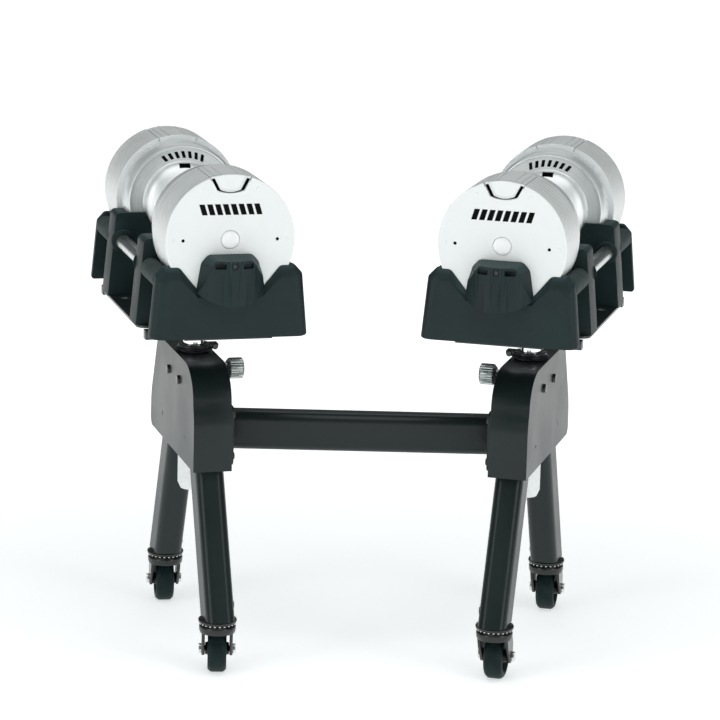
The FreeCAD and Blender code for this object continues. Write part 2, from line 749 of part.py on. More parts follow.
def foot_bolts():
    """Round-headed bolts near the foot of each leg, on the inner side, that hold the caster plugs."""
    reach = leg_centre_y(FOOT_BOLT_Z)
    face = -TUBE_NARROW / 2
    end = face + FOOT_BOLT_GRIP
    return [cross_bolt(y, FOOT_BOLT_Z, face, end, FOOT_BOLT_RADIUS) for y in (-reach, reach)]


def leg_centre_y(z):
    """How far in front of or behind the column the middle of a leg is at a height."""
    share = (LEG_TOP_Z - z) / (LEG_TOP_Z - LEG_FOOT_Z)
    return LEG_TOP_Y + share * (LEG_FOOT_Y - LEG_TOP_Y)


def along_leg(bar):
    """A bar along z, laid along the front leg from below the foot upwards."""
    lean = math.degrees(math.atan2(LEG_FOOT_Y - LEG_TOP_Y, LEG_TOP_Z - LEG_FOOT_Z))
    start_z = LEG_FOOT_Z - LEG_STOCK_BELOW
    placed = bar.copy()
    placed.rotate(Vector(0, 0, 0), Vector(1, 0, 0), -lean)
    placed.translate(Vector(0, -leg_centre_y(start_z), start_z))
    return placed


def level_cut(shape, low, high):
    """What there is of a front leg's piece between two heights."""
    return shape.common(box((-TUBE_NARROW, TUBE_NARROW), (-LEG_STOCK, 0), (low, high)))


def leg():
    """The front leg: a leaning tube, cut level at the foot and inside the housing."""
    tube = along_leg(rounded_tube(TUBE_NARROW, TUBE_WIDE, TUBE_CORNER, TUBE_WALL, LEG_STOCK))
    tube = level_cut(tube, LEG_FOOT_Z, LEG_TOP_CUT)
    for bolt in leg_bolts() + foot_bolts():
        tube = tube.cut(bolt)
    return tube


def caster_mount():
    """The front caster's plug in the leg, its bearing plate and its kingpin."""
    shrink = 2 * (TUBE_WALL + FIT)
    corner = TUBE_CORNER - TUBE_WALL
    filler = along_leg(rounded_bar(TUBE_NARROW - shrink, TUBE_WIDE - shrink, corner, LEG_STOCK))
    plug = level_cut(filler, LEG_FOOT_Z - 1, LEG_FOOT_Z + PLUG_HEIGHT)
    upper, lip, lower = MOUNT_EDGES
    section = [
        (0, LEG_FOOT_Z),
        (MOUNT_RADIUS - upper, LEG_FOOT_Z),
        (MOUNT_RADIUS, LEG_FOOT_Z - upper),
        (MOUNT_RADIUS, MOUNT_UNDER_Z + lip),
        (MOUNT_RADIUS - lower, MOUNT_UNDER_Z),
        (0, MOUNT_UNDER_Z),
    ]
    foot = Vector(0, -LEG_FOOT_Y, 0)
    plate = turned(section, foot, Z_AXIS)
    low_z = FORK_TOP_Z - FORK_CAP - 1
    kingpin = rod(KINGPIN_RADIUS, (0, foot.y, low_z), (0, foot.y, MOUNT_UNDER_Z + 1))
    return plug.fuse(plate).fuse(kingpin)


def crossbar():
    """The tube between the two housings, cut to the slant of each one's plate."""
    tube = rounded_tube(TUBE_NARROW, TUBE_WIDE, TUBE_CORNER, TUBE_WALL, 2 * COLUMN_X)
    tube.rotate(Vector(0, 0, 0), Z_AXIS, 90)
    tube.rotate(Vector(0, 0, 0), Vector(0, 1, 0), 90)
    tube.translate(Vector(-COLUMN_X, 0, CROSSBAR_Z))
    reach = 2 * COLUMN_X
    beyond = box((CHEEK_INNER_X - FLANGE_THICKNESS, reach), (-reach, reach), (0, reach))
    return tube.cut(to_right(beyond)).cut(to_left(beyond))


# ---------------------------------------------------------------- casters

def fork():
    """A caster fork at the origin: a round cap on the kingpin and two cheeks down to the axle.

    The wheel trails along +Y and the axle lies along X.
    """
    body = rod(FORK_RADIUS, (0, 0, FORK_TOP_Z - FORK_CAP), (0, 0, FORK_TOP_Z))
    for x in (-CHEEK_GAP - CHEEK_THICK, CHEEK_GAP):
        body = body.fuse(plate_yz(CHEEK_OUTLINE, (x, x + CHEEK_THICK)))
    kingpin_bore = rod(KINGPIN_RADIUS + FIT, (0, 0, 0), (0, 0, LEG_FOOT_Z))
    axle_bore = axle_rod(AXLE_RADIUS + FIT, FORK_RADIUS)
    return body.cut(kingpin_bore).cut(axle_bore)


def axle_rod(radius, half_length):
    """A round bar on the wheel's axis, centred between the cheeks."""
    ends = [(x, WHEEL_TRAIL, WHEEL_RADIUS) for x in (-half_length, half_length)]
    return rod(radius, *ends)


def wheel():
    """A caster wheel with a bevelled tread and a raised hub that keeps it off the cheeks."""
    bevel_height, bevel_width = WHEEL_BEVEL
    web = WHEEL_HALF_WIDTH - WHEEL_DISH
    half = [
        (WHEEL_RADIUS, WHEEL_HALF_WIDTH - bevel_width),
        (WHEEL_RADIUS - bevel_height, WHEEL_HALF_WIDTH),
        (WHEEL_RIM_INNER, WHEEL_HALF_WIDTH),
        (WHEEL_DISH_RADII[0], web),
        (WHEEL_DISH_RADII[1], web),
        (WHEEL_HUB_RADIUS, CHEEK_GAP - CLEAR),
        (AXLE_RADIUS + FIT, CHEEK_GAP - CLEAR),
    ]
    section = half + [(radius, -along) for radius, along in reversed(half)]
    return turned(section, Vector(0, WHEEL_TRAIL, WHEEL_RADIUS), Vector(1, 0, 0))


def axle():
    """The bolt through the fork's cheeks, with a head and a nut outside them."""
    outside = CHEEK_GAP + CHEEK_THICK
    bolt = axle_rod(AXLE_RADIUS, outside + AXLE_HEAD)
    for x in (-outside - AXLE_HEAD, outside):
        bolt = bolt.fuse(hexagon(AXLE_HEAD_RADIUS, (x, WHEEL_TRAIL, WHEEL_RADIUS), AXLE_HEAD))
    return bolt


def hexagon(radius, start, thickness):
    """A six-sided nut along x from its start."""
    x, y, z = start
    corners = []
    for index in range(6):
        angle = math.radians(60 * index)
        corners.append((y + radius * math.cos(angle), z + radius * math.sin(angle)))
    return plate_yz(corners, (x, x + thickness))


def caster_places():
    """The name, foot and trail heading of each caster; 0 degrees trails straight to the rear."""
    yaw = math.radians(YAW)
    places = {}
    for row, sign, headings in (("front", -1, (2.0, -14.0)), ("rear", 1, (8.0, -12.0))):
        x = COLUMN_X + sign * LEG_FOOT_Y * math.sin(yaw)
        y = sign * LEG_FOOT_Y * math.cos(yaw)
        places[row + "_left"] = (Vector(-x, y, 0), headings[0])
        places[row + "_right"] = (Vector(x, y, 0), headings[1])
    return places


def placed_caster(shape, foot, heading):
    """A caster shape at a leg's foot, turned to its heading."""
    placed = shape.copy()
    placed.rotate(Vector(0, 0, 0), Z_AXIS, heading)
    placed.translate(foot)
    return placed


# ---------------------------------------------------------------- everything

def main():
    """Builds and writes every node."""
    for group in (dumbbell(), cradle()):
        for name, shape in group.items():
            save_both(name, shape)
    for make in (post, guide, collar, knob, housing):
        save_both(make.__name__, make())
    front_leg = leg()
    save_both("leg_front", front_leg)
    save_both("leg_rear", mirror_y(front_leg))
    mounts = both_ends(caster_mount())
    save("caster_mounts", Part.makeCompound([to_right(mounts), to_left(mounts)]))
    save("crossbar_flanges", Part.makeCompound([to_right(flange()), to_left(flange())]))
    bolts = Part.makeCompound(flange_bolts() + housing_bolts() + leg_bolts() + foot_bolts())
    save("stand_bolts", Part.makeCompound([to_right(bolts), to_left(bolts)]))
    save("crossbar", crossbar())
    for place, (foot, heading) in caster_places().items():
        save("fork_" + place, placed_caster(fork(), foot, heading))
        save("wheel_" + place, placed_caster(wheel(), foot, heading))
        save("axle_" + place, placed_caster(axle(), foot, heading))


main()
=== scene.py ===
"""A pair of adjustable dumbbells in docking cradles on a rolling two-column stand, finished for display.

Metres, +Z up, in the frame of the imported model. Everything that belongs to one half of the stand is drawn
in that half's side frame: x outwards across the cradle, y rearwards along the dumbbell, z up, with the
column on the z axis. A casing, wall or wheel is modelled once there and copied to each of its places.
"""

import json
import logging
import math
from abc import ABC, abstractmethod
from dataclasses import dataclass
from enum import Enum
from typing import Callable, Iterable, Mapping, Sequence

import bpy
from mathutils import Matrix, Vector

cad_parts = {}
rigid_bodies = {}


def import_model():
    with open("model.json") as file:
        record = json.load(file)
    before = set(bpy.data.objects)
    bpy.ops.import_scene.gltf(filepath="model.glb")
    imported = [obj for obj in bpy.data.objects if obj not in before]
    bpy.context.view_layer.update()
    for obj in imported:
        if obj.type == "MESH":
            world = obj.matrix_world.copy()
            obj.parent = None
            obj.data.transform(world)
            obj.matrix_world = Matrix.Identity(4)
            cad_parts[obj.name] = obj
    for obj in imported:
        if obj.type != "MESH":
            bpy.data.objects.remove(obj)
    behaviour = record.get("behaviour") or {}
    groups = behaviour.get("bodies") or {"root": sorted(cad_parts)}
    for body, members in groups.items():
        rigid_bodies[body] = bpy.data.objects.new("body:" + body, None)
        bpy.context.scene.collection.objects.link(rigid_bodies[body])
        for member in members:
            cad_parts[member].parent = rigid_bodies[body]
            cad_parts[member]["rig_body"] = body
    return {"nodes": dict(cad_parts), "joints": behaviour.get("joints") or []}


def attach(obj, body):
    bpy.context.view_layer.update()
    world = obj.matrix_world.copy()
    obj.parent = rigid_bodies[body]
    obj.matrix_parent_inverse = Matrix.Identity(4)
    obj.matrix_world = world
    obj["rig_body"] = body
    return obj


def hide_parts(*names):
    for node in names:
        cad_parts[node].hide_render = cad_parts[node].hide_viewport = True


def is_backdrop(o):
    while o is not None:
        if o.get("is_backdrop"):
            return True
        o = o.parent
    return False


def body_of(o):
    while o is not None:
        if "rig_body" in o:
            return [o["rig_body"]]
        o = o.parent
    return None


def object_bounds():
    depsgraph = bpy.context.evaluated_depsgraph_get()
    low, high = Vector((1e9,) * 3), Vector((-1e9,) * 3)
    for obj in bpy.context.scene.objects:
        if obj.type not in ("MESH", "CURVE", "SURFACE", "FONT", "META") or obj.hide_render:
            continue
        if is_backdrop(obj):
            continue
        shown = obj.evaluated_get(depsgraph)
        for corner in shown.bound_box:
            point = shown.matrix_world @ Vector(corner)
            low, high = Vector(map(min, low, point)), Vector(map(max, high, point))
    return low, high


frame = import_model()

CAD_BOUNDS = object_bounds()
FLAT_AREA = 6e-4
MERGE = 1e-6
TAU = 2 * math.pi

Piece = bpy.types.Object
Place = Sequence[float]
Profile = Sequence[tuple[float, float]]
log = logging.getLogger("stand")


# ---------------------------------------------------------------- places

class Side(Enum):
    """The two halves of the stand."""

    RIGHT = "right"
    LEFT = "left"


@dataclass(frozen=True)
class SideFrame:
    """Where one half of the stand is and which way its dumbbell points."""

    side: Side
    centre: Vector
    heading: Vector

    @classmethod
    def of(cls, side: Side) -> "SideFrame":
        """Reads a half's frame from the joint its grip turns on.

        Args:
            side: The half of the stand.

        Returns:
            The side frame, with its heading towards the rear.
        """
        twist = next(joint for joint in frame["joints"] if joint["name"] == "grip_twist_" + side.value)
        axis = Vector(twist["axis"]).normalized()
        return cls(side, Vector(twist["pos_m"]), axis if axis.y > 0 else -axis)

    @property
    def mirrored(self) -> bool:
        """True for the half that is the mirror image of the drawn one."""
        return self.side is Side.LEFT

    @property
    def matrix(self) -> Matrix:
        """The side frame's axes and its origin on the floor, as a matrix."""
        outward = Vector((self.heading.y, -self.heading.x, 0.0))
        if self.mirrored:
            outward = -outward
        columns = (outward, self.heading, Vector((0, 0, 1)), Vector((self.centre.x, self.centre.y, 0)))
        return Matrix([[column[row] for column in columns] for row in range(3)] + [[0, 0, 0, 1]])

    @property
    def turn(self) -> float:
        """The angle about z that takes world y to the dumbbell's axis."""
        return math.atan2(-self.heading.x, self.heading.y)

    def name(self, stem: str) -> str:
        """A node or body name of this half."""
        return stem + "_" + self.side.value


# ---------------------------------------------------------------- modelling bench

class Bench:
    """Hand modelling: a primitive is laid on the bench, shaped in edit mode and finished with modifiers."""

    @staticmethod
    def clear() -> None:
        """Leaves edit mode and deselects everything."""
        active = bpy.context.view_layer.objects.active
        if active is not None and active.mode != "OBJECT":
            bpy.ops.object.mode_set(mode="OBJECT")
        bpy.ops.object.select_all(action="DESELECT")

    @classmethod
    def take(cls, *pieces: Piece) -> None:
        """Selects these pieces alone and makes the first one active."""
        cls.clear()
        for piece in pieces:
            piece.select_set(True)
        bpy.context.view_layer.objects.active = pieces[0]

    @classmethod
    def edit(cls, piece: Piece) -> None:
        """Opens a piece in edit mode with all of it selected."""
        cls.take(piece)
        bpy.ops.object.mode_set(mode="EDIT")
        bpy.ops.mesh.select_mode(type="VERT")
        bpy.ops.mesh.select_all(action="SELECT")

    @classmethod
    def close(cls) -> None:
        """Merges doubles, fills open ends, turns the faces outwards and leaves edit mode."""
        bpy.ops.mesh.select_all(action="SELECT")
        bpy.ops.mesh.remove_doubles(threshold=MERGE)
        bpy.ops.mesh.fill_holes(sides=0)
        bpy.ops.mesh.normals_make_consistent(inside=False)
        bpy.ops.object.mode_set(mode="OBJECT")

    @staticmethod
    def keep_place(name: str) -> Piece:
        """Names the newest primitive and writes its place into its mesh."""
        piece = bpy.context.object
        piece.name = name
        bpy.ops.object.transform_apply(location=True, rotation=True, scale=True)
        return piece

    @classmethod
    def lathe(cls, name: str, profile: Profile, sides: int = 96, ring: bool = False) -> Piece:
        """Turns a profile about z by extruding a circle from station to station.

        Args:
            name: The piece's name.
            profile: Radius and height of each station, none on the axis.
            sides: How many sides the circle has.
            ring: True if the last station joins the first, as on a bored piece.

        Returns:
            The closed piece.
        """
        cls.clear()
        radius, height = profile[0]
        bpy.ops.mesh.primitive_circle_add(
            vertices=sides, radius=radius, location=(0, 0, height), fill_type="NOTHING"
        )
        piece = cls.keep_place(name)
        cls.edit(piece)
        stations = list(profile[1:]) + (list(profile[:1]) if ring else [])
        for next_radius, next_height in stations:
            bpy.ops.mesh.extrude_edges_move(
                TRANSFORM_OT_translate={"value": (0, 0, next_height - height)}
            )
            growth = next_radius / radius
            bpy.ops.transform.resize(value=(growth, growth, 1), center_override=(0, 0, next_height))
            radius, height = next_radius, next_height
        cls.close()
        return piece

    @classmethod
    def prism(cls, name: str, outline: Sequence[Place], push: Place) -> Piece:
        """Draws an outline by extruding a point from corner to corner, and gives it thickness.

        Args:
            name: The piece's name.
            outline: The corners in order.
            push: The way and distance that the outline is extruded.

        Returns:
            The closed piece.
        """
        cls.clear()
        bpy.ops.mesh.primitive_plane_add(size=0.001, location=outline[0])
        piece = cls.keep_place(name)
        cls.edit(piece)
        bpy.ops.mesh.delete(type="VERT")
        cls.trace(outline)
        bpy.ops.mesh.select_all(action="SELECT")
        bpy.ops.mesh.remove_doubles(threshold=MERGE)
        bpy.ops.mesh.edge_face_add()
        bpy.ops.mesh.extrude_region_move(TRANSFORM_OT_translate={"value": push})
        cls.close()
        return piece

    @staticmethod
    def trace(outline: Sequence[Place]) -> None:
        """Draws one closed outline in the open mesh by extruding a point from corner to corner."""
        bpy.ops.mesh.primitive_plane_add(size=0.001, location=outline[0])
        bpy.ops.mesh.merge(type="CENTER")
        here = Vector(outline[0])
        for corner in [*outline[1:], outline[0]]:
            step = Vector(corner) - here
            bpy.ops.mesh.extrude_vertices_move(TRANSFORM_OT_translate={"value": step})
            here = Vector(corner)

    @classmethod
    def loft(cls, name: str, outlines: Sequence[Sequence[Place]]) -> Piece:
        """Draws closed outlines one behind another and bridges them into a solid.

        Args:
            name: The piece's name.
            outlines: The outlines in order, each with the same number of corners.

        Returns:
            The closed piece.
        """
        parts = []
        for first, second in zip(outlines, outlines[1:]):
            cls.clear()
            bpy.ops.mesh.primitive_plane_add(size=0.001, location=first[0])
            part = cls.keep_place(name)
            cls.edit(part)
            bpy.ops.mesh.delete(type="VERT")
            cls.trace(first)
            cls.trace(second)
            bpy.ops.mesh.select_all(action="SELECT")
            bpy.ops.mesh.remove_doubles(threshold=MERGE)
            bpy.ops.mesh.bridge_edge_loops()
            bpy.ops.object.mode_set(mode="OBJECT")
            parts.append(part)
        piece = cls.join(name, parts)
        cls.edit(piece)
        cls.close()
        return piece

    @classmethod
    def block(cls, name: str, low: Place, high: Place) -> Piece:
        """A box between two corners, as a start for a cut or a bevelled piece."""
        cls.clear()
        size = Vector(high) - Vector(low)
        bpy.ops.mesh.primitive_cube_add(size=1, location=(Vector(low) + Vector(high)) / 2, scale=size)
        return cls.keep_place(name)

    @classmethod
    def rod(cls, name: str, radius: float, start: Place, end: Place, sides: int = 64) -> Piece:
        """A round bar between two points, as a start for a cut."""
        cls.clear()
        along = Vector(end) - Vector(start)
        turn = Vector((0, 0, 1)).rotation_difference(along).to_euler()
        bpy.ops.mesh.primitive_cylinder_add(
            vertices=sides, radius=radius, depth=along.length,
            location=(Vector(start) + Vector(end)) / 2, rotation=turn,
        )
        return cls.keep_place(name)

    @classmethod
    def modify(cls, piece: Piece, kind: str, **settings: object) -> None:
        """Adds one modifier with these settings and applies it."""
        modifier = piece.modifiers.new(kind.lower(), kind)
        for key, value in settings.items():
            setattr(modifier, key, value)
        cls.take(piece)
        bpy.ops.object.modifier_apply(modifier=modifier.name)

    @classmethod
    def ease(cls, piece: Piece, width: float, segments: int = 3, angle: float = 30.0) -> None:
        """Rounds every edge sharper than an angle, in degrees."""
        cls.modify(
            piece, "BEVEL", width=width, segments=segments, limit_method="ANGLE",
            angle_limit=math.radians(angle), miter_outer="MITER_ARC",
        )

    @classmethod
    def smooth(cls, piece: Piece, angle: float = 32.0) -> Piece:
        """Shades faces smooth across edges under an angle, in degrees."""
        cls.take(piece)
        bpy.ops.object.shade_smooth_by_angle(angle=math.radians(angle))
        for face in piece.data.polygons:
            if len(face.vertices) > 4 and face.area > FLAT_AREA:
                face.use_smooth = False
        return piece

    @classmethod
    def combine(cls, piece: Piece, tool: Piece, operation: str) -> None:
        """Cuts a tool from a piece or welds it on, and uses the tool up."""
        cls.modify(piece, "BOOLEAN", object=tool, operation=operation, solver="EXACT")
        bpy.data.objects.remove(tool)

    @classmethod
    def cut(cls, piece: Piece, *tools: Piece) -> None:
        """Cuts each tool from a piece."""
        for tool in tools:
            cls.combine(piece, tool, "DIFFERENCE")

    @classmethod
    def choose(cls, piece: Piece, kind: str, test: Callable) -> None:
        """Opens a piece and selects the points or faces that a test picks.

        Args:
            piece: The piece.
            kind: VERT for points or FACE for faces.
            test: Says whether a point or a face of the mesh is wanted.
        """
        cls.edit(piece)
        bpy.ops.mesh.select_mode(type=kind)
        bpy.ops.mesh.select_all(action="DESELECT")
        bpy.ops.object.mode_set(mode="OBJECT")
        for part in piece.data.vertices if kind == "VERT" else piece.data.polygons:
            part.select = test(part)
        bpy.ops.object.mode_set(mode="EDIT")

    @classmethod
    def resize_points(cls, piece: Piece, test: Callable[[Vector], bool], scale: Place, centre: Place) -> None:
        """Scales the points that a test picks about a centre."""
        cls.choose(piece, "VERT", lambda point: test(point.co))
        bpy.ops.transform.resize(value=tuple(scale), center_override=tuple(centre))
        bpy.ops.object.mode_set(mode="OBJECT")

    @classmethod
    def open_faces(cls, piece: Piece, test: Callable[[bpy.types.MeshPolygon], bool]) -> None:
        """Deletes the faces that a test picks."""
        cls.choose(piece, "FACE", test)
        bpy.ops.mesh.delete(type="FACE")
        bpy.ops.object.mode_set(mode="OBJECT")

    @classmethod
    def join(cls, name: str, pieces: Sequence[Piece]) -> Piece:
        """Joins pieces into one object."""
        cls.take(*pieces)
        bpy.ops.object.join()
        joined = bpy.context.object
        joined.name = name
        return joined

    @classmethod
    def copy(cls, piece: Piece, name: str, matrix: Matrix) -> Piece:
        """A copy of a piece with its own mesh, set in its place.

        Args:
            piece: The finished piece.
            name: The copy's name.
            matrix: Where the copy goes, which may be a mirror image.

        Returns:
            The copy, with its place in its mesh.
        """
        double = piece.copy()
        double.data = piece.data.copy()
        double.name = name
        bpy.context.scene.collection.objects.link(double)
        double.matrix_world = matrix @ piece.matrix_world
        cls.take(double)
        bpy.ops.object.transform_apply(location=True, rotation=True, scale=True)
        if matrix.determinant() < 0:
            cls.edit(double)
            bpy.ops.mesh.normals_make_consistent(inside=False)
            bpy.ops.object.mode_set(mode="OBJECT")
        return double

    @classmethod
    def scatter(cls, name: str, piece: Piece, places: Iterable[Matrix]) -> Piece:
        """Copies a piece to each place and joins the copies."""
        return cls.join(name, [cls.copy(piece, piece.name + "_part", place) for place in places])

    @classmethod
    def around(cls, piece: Piece, count: int, start: float = 0.0) -> Piece:
        """Copies a piece evenly round the z axis and joins the copies."""
        name = piece.name
        turns = (Matrix.Rotation(start + TAU * index / count, 4, "Z") for index in range(count))
        doubles = [cls.copy(piece, name + "_part", turn) for turn in turns]
        bpy.data.objects.remove(piece)
        return cls.join(name, doubles)

    @classmethod
    def refined(cls, node: str, width: float = 0.0) -> Piece:
        """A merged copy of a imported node, with its flats cleaned, its edges eased and its rounds smooth.

        Args:
            node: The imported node's name.
            width: How far its sharp edges are rounded, or 0 for none.

        Returns:
            The new piece, in the node's place.
        """
        mesh = frame["nodes"][node].data.copy()
        piece = bpy.data.objects.new(node + "_finished", mesh)
        bpy.context.scene.collection.objects.link(piece)
        cls.edit(piece)
        bpy.ops.mesh.customdata_custom_splitnormals_clear()
        bpy.ops.mesh.remove_doubles(threshold=MERGE)
        bpy.ops.mesh.dissolve_limited(angle_limit=math.radians(0.5))
        bpy.ops.object.mode_set(mode="OBJECT")
        if width:
            cls.ease(piece, width, segments=2)
        return cls.smooth(piece)


ALONG_Y = Matrix.Rotation(-math.pi / 2, 4, "X")
ALONG_X = Matrix.Rotation(math.pi / 2, 4, "Y")
FRONT_TO_BACK = Matrix.Scale(-1, 4, (0, 1, 0))


def lift(height: float) -> Matrix:
    """A move straight up."""
    return Matrix.Translation((0, 0, height))


def arc(centre: tuple[float, float], radius: float, start: float, end: float, steps: int) -> list:
    """Points on an arc, from one angle to another in degrees."""
    points = []
    for step in range(steps + 1):
        angle = math.radians(start + (end - start) * step / steps)
        points.append((centre[0] + radius * math.cos(angle), centre[1] + radius * math.sin(angle)))
    return points


def rounded(corners: Sequence[tuple[float, float, float]], steps: int = 6) -> list[tuple[float, float]]:
    """An outline with its corners rounded.

    Args:
        corners: Two coordinates and a radius for each corner, in order.
        steps: How many edges each rounded corner has.

    Returns:
        The outline's points.
    """
    points = []
    for index, (u, v, radius) in enumerate(corners):
        corner = Vector((u, v))
        if not radius:
            points.append((u, v))
            continue
        before = (Vector(corners[index - 1][:2]) - corner).normalized()
        after = (Vector(corners[(index + 1) % len(corners)][:2]) - corner).normalized()
        reach = radius / math.tan(before.angle(after) / 2)
        start, end = corner + before * reach, corner + after * reach
        for step in range(steps + 1):
            share = step / steps
            bend = (1 - share) ** 2 * start + 2 * share * (1 - share) * corner + share**2 * end
            points.append((bend.x, bend.y))
    return points


def in_xz(points: Iterable[tuple[float, float]], y: float) -> list[Place]:
    """Outline points in x and z, at one y."""
    return [(x, y, z) for x, z in points]


def in_yz(points: Iterable[tuple[float, float]], x: float) -> list[Place]:
    """Outline points in y and z, at one x."""
    return [(x, y, z) for y, z in points]


# ---------------------------------------------------------------- shader arithmetic

class Signal:
    """A socket that plain arithmetic can be written on."""

    def __init__(self, shader: "Shader", socket: bpy.types.NodeSocket) -> None:
        """Wraps an output socket of a shader's node tree."""
        self.shader = shader
        self.socket = socket

    def math(self, operation: str, *others: "Signal | float") -> "Signal":
        """A Math node on this value and others."""
        inputs = dict(enumerate([self, *others]))
        return self.shader.node("ShaderNodeMath", {"operation": operation}, inputs)

    def __add__(self, other: "Signal | float") -> "Signal":
        """This value plus another."""
        return self.math("ADD", other)

    __radd__ = __add__

    def __mul__(self, other: "Signal | float") -> "Signal":
        """This value times another."""
        return self.math("MULTIPLY", other)

    __rmul__ = __mul__

    def __sub__(self, other: "Signal | float") -> "Signal":
        """This value less another."""
        return self.math("SUBTRACT", other)

    def __rsub__(self, other: float) -> "Signal":
        """A number less this value."""
        return self.math("MULTIPLY", -1.0).math("ADD", other)

    def __pow__(self, power: float) -> "Signal":
        """This value to a power."""
        return self.math("POWER", power)

    def between(self, low: float, high: float, to_low: float = 0.0, to_high: float = 1.0) -> "Signal":
        """This value's smooth rise from one level to another, clamped."""
        inputs = {"Value": self, "From Min": low, "From Max": high, "To Min": to_low, "To Max": to_high}
        return self.shader.node("ShaderNodeMapRange", {"interpolation_type": "SMOOTHSTEP"}, inputs)


class Shader:
    """One material's node tree, built by expressions."""

    def __init__(self, name: str) -> None:
        """Starts a material with its principled surface."""
        self.material = bpy.data.materials.new(name)
        self.material.use_nodes = True
        self.tree = self.material.node_tree
        self.surface = self.tree.nodes["Principled BSDF"]

    def connect(self, socket: bpy.types.NodeSocket, value: object) -> None:
        """Links a signal to a socket, or sets the socket's own value."""
        if isinstance(value, Signal):
            self.tree.links.new(value.socket, socket)
        else:
            socket.default_value = value

    def node(
        self, kind: str, settings: Mapping[str, object], inputs: Mapping, output: int | str = 0
    ) -> Signal:
        """Adds a node.

        Args:
            kind: The node's type.
            settings: Its own options, which are set first.
            inputs: What goes into its sockets, by number or name.
            output: The socket that is wanted.

        Returns:
            That output, as a signal.
        """
        added = self.tree.nodes.new(kind)
        for key, value in settings.items():
            setattr(added, key, value)
        for key, value in inputs.items():
            self.connect(added.inputs[key], value)
        return Signal(self, added.outputs[output])

    def set(self, **values: object) -> None:
        """Sets or links sockets of the surface; an underscore stands for a space."""
        for key, value in values.items():
            self.connect(self.surface.inputs[key.replace("_", " ").title().replace("Ior", "IOR")], value)

    def position(self, where: SideFrame | None = None, scale: Place = (1, 1, 1)) -> Signal:
        """The point on the surface, centred on a dumbbell and turned with it if a side frame is given."""
        point = self.node("ShaderNodeTexCoord", {}, {}, "Object")
        if where is not None:
            inputs = {"Vector": point, "Location": where.centre, "Rotation": (0, 0, where.turn)}
            point = self.node("ShaderNodeMapping", {"vector_type": "TEXTURE"}, inputs)
        return self.node("ShaderNodeMapping", {}, {"Vector": point, "Scale": scale})

    def split(self, point: Signal) -> tuple[Signal, Signal, Signal]:
        """The three coordinates of a point."""
        first = self.node("ShaderNodeSeparateXYZ", {}, {"Vector": point})
        outputs = first.socket.node.outputs
        return first, Signal(self, outputs[1]), Signal(self, outputs[2])

    def gather(self, x: Signal | float, y: Signal | float, z: Signal | float) -> Signal:
        """A point from three coordinates."""
        return self.node("ShaderNodeCombineXYZ", {}, {"X": x, "Y": y, "Z": z})

    def noise(self, point: Signal, scale: float, detail: float = 3.0) -> Signal:
        """Noise at a scale, centred on a half."""
        return self.node("ShaderNodeTexNoise", {}, {"Vector": point, "Scale": scale, "Detail": detail})

    def blend(self, share: Signal, first: Place, second: Place) -> Signal:
        """A colour between two, by a share."""
        inputs = {0: share, 6: (*first, 1), 7: (*second, 1)}
        return self.node("ShaderNodeMix", {"data_type": "RGBA"}, inputs, 2)

    def bump(self, height: Signal, strength: float, distance: float) -> None:
        """Gives the surface its fine relief."""
        inputs = {"Height": height, "Strength": strength, "Distance": distance}
        self.connect(self.surface.inputs["Normal"], self.node("ShaderNodeBump", {}, inputs))


def tinted(colour: Place, factor: float) -> Place:
    """A colour made lighter or darker."""
    return tuple(min(1.0, part * factor) for part in colour)


# ---------------------------------------------------------------- finishes

@dataclass(frozen=True)
class Finish(ABC):
    """A material that a piece can be dressed in."""

    name: str
    colour: tuple[float, float, float]
    roughness: float
    metallic: float = 0.0
    specular: float = 0.5

    @abstractmethod
    def dress(self, shader: Shader, where: SideFrame | None) -> None:
        """Builds the finish's pattern."""

    def material(self, where: SideFrame | None = None) -> bpy.types.Material:
        """The finished material, made once for each half.

        Args:
            where: The half whose dumbbell axis the pattern follows, if it follows one.

        Returns:
            The material.
        """
        name = self.name if where is None else where.name(self.name)
        if name in bpy.data.materials:
            return bpy.data.materials[name]
        shader = Shader(name)
        shader.set(base_color=(*self.colour, 1), roughness=self.roughness, metallic=self.metallic)
        shader.surface.inputs["Specular IOR Level"].default_value = self.specular
        self.dress(shader, where)
        return shader.material


@dataclass(frozen=True)
class TurnedSilver(Finish):
    """Silver that was faced on a lathe: faint rings round the dumbbell's axis and soft clouds."""

    ring_scale: float = 900.0
    ring_depth: float = 0.00004
    contrast: float = 0.05

    def dress(self, shader: Shader, where: SideFrame | None) -> None:
        """Builds the rings, the clouds and the fine grain."""
        x, y, z = shader.split(shader.position(where))
        radius = (x * x + z * z) ** 0.5
        rings = shader.noise(shader.gather(radius, y, 0.0), self.ring_scale, 2.0)
        clouds = shader.noise(shader.position(where), 26.0, 4.0)
        grain = shader.noise(shader.position(where), 2200.0, 1.0)
        shade = rings * 0.5 + clouds * 0.5
        low, high = tinted(self.colour, 1 - self.contrast), tinted(self.colour, 1 + self.contrast)
        shader.set(
            base_color=shader.blend(shade.between(0.38, 0.62), low, high),
            roughness=clouds.between(0.3, 0.7, self.roughness - 0.05, self.roughness + 0.06),
        )
        shader.bump(rings + grain * 0.6, 0.35, self.ring_depth)


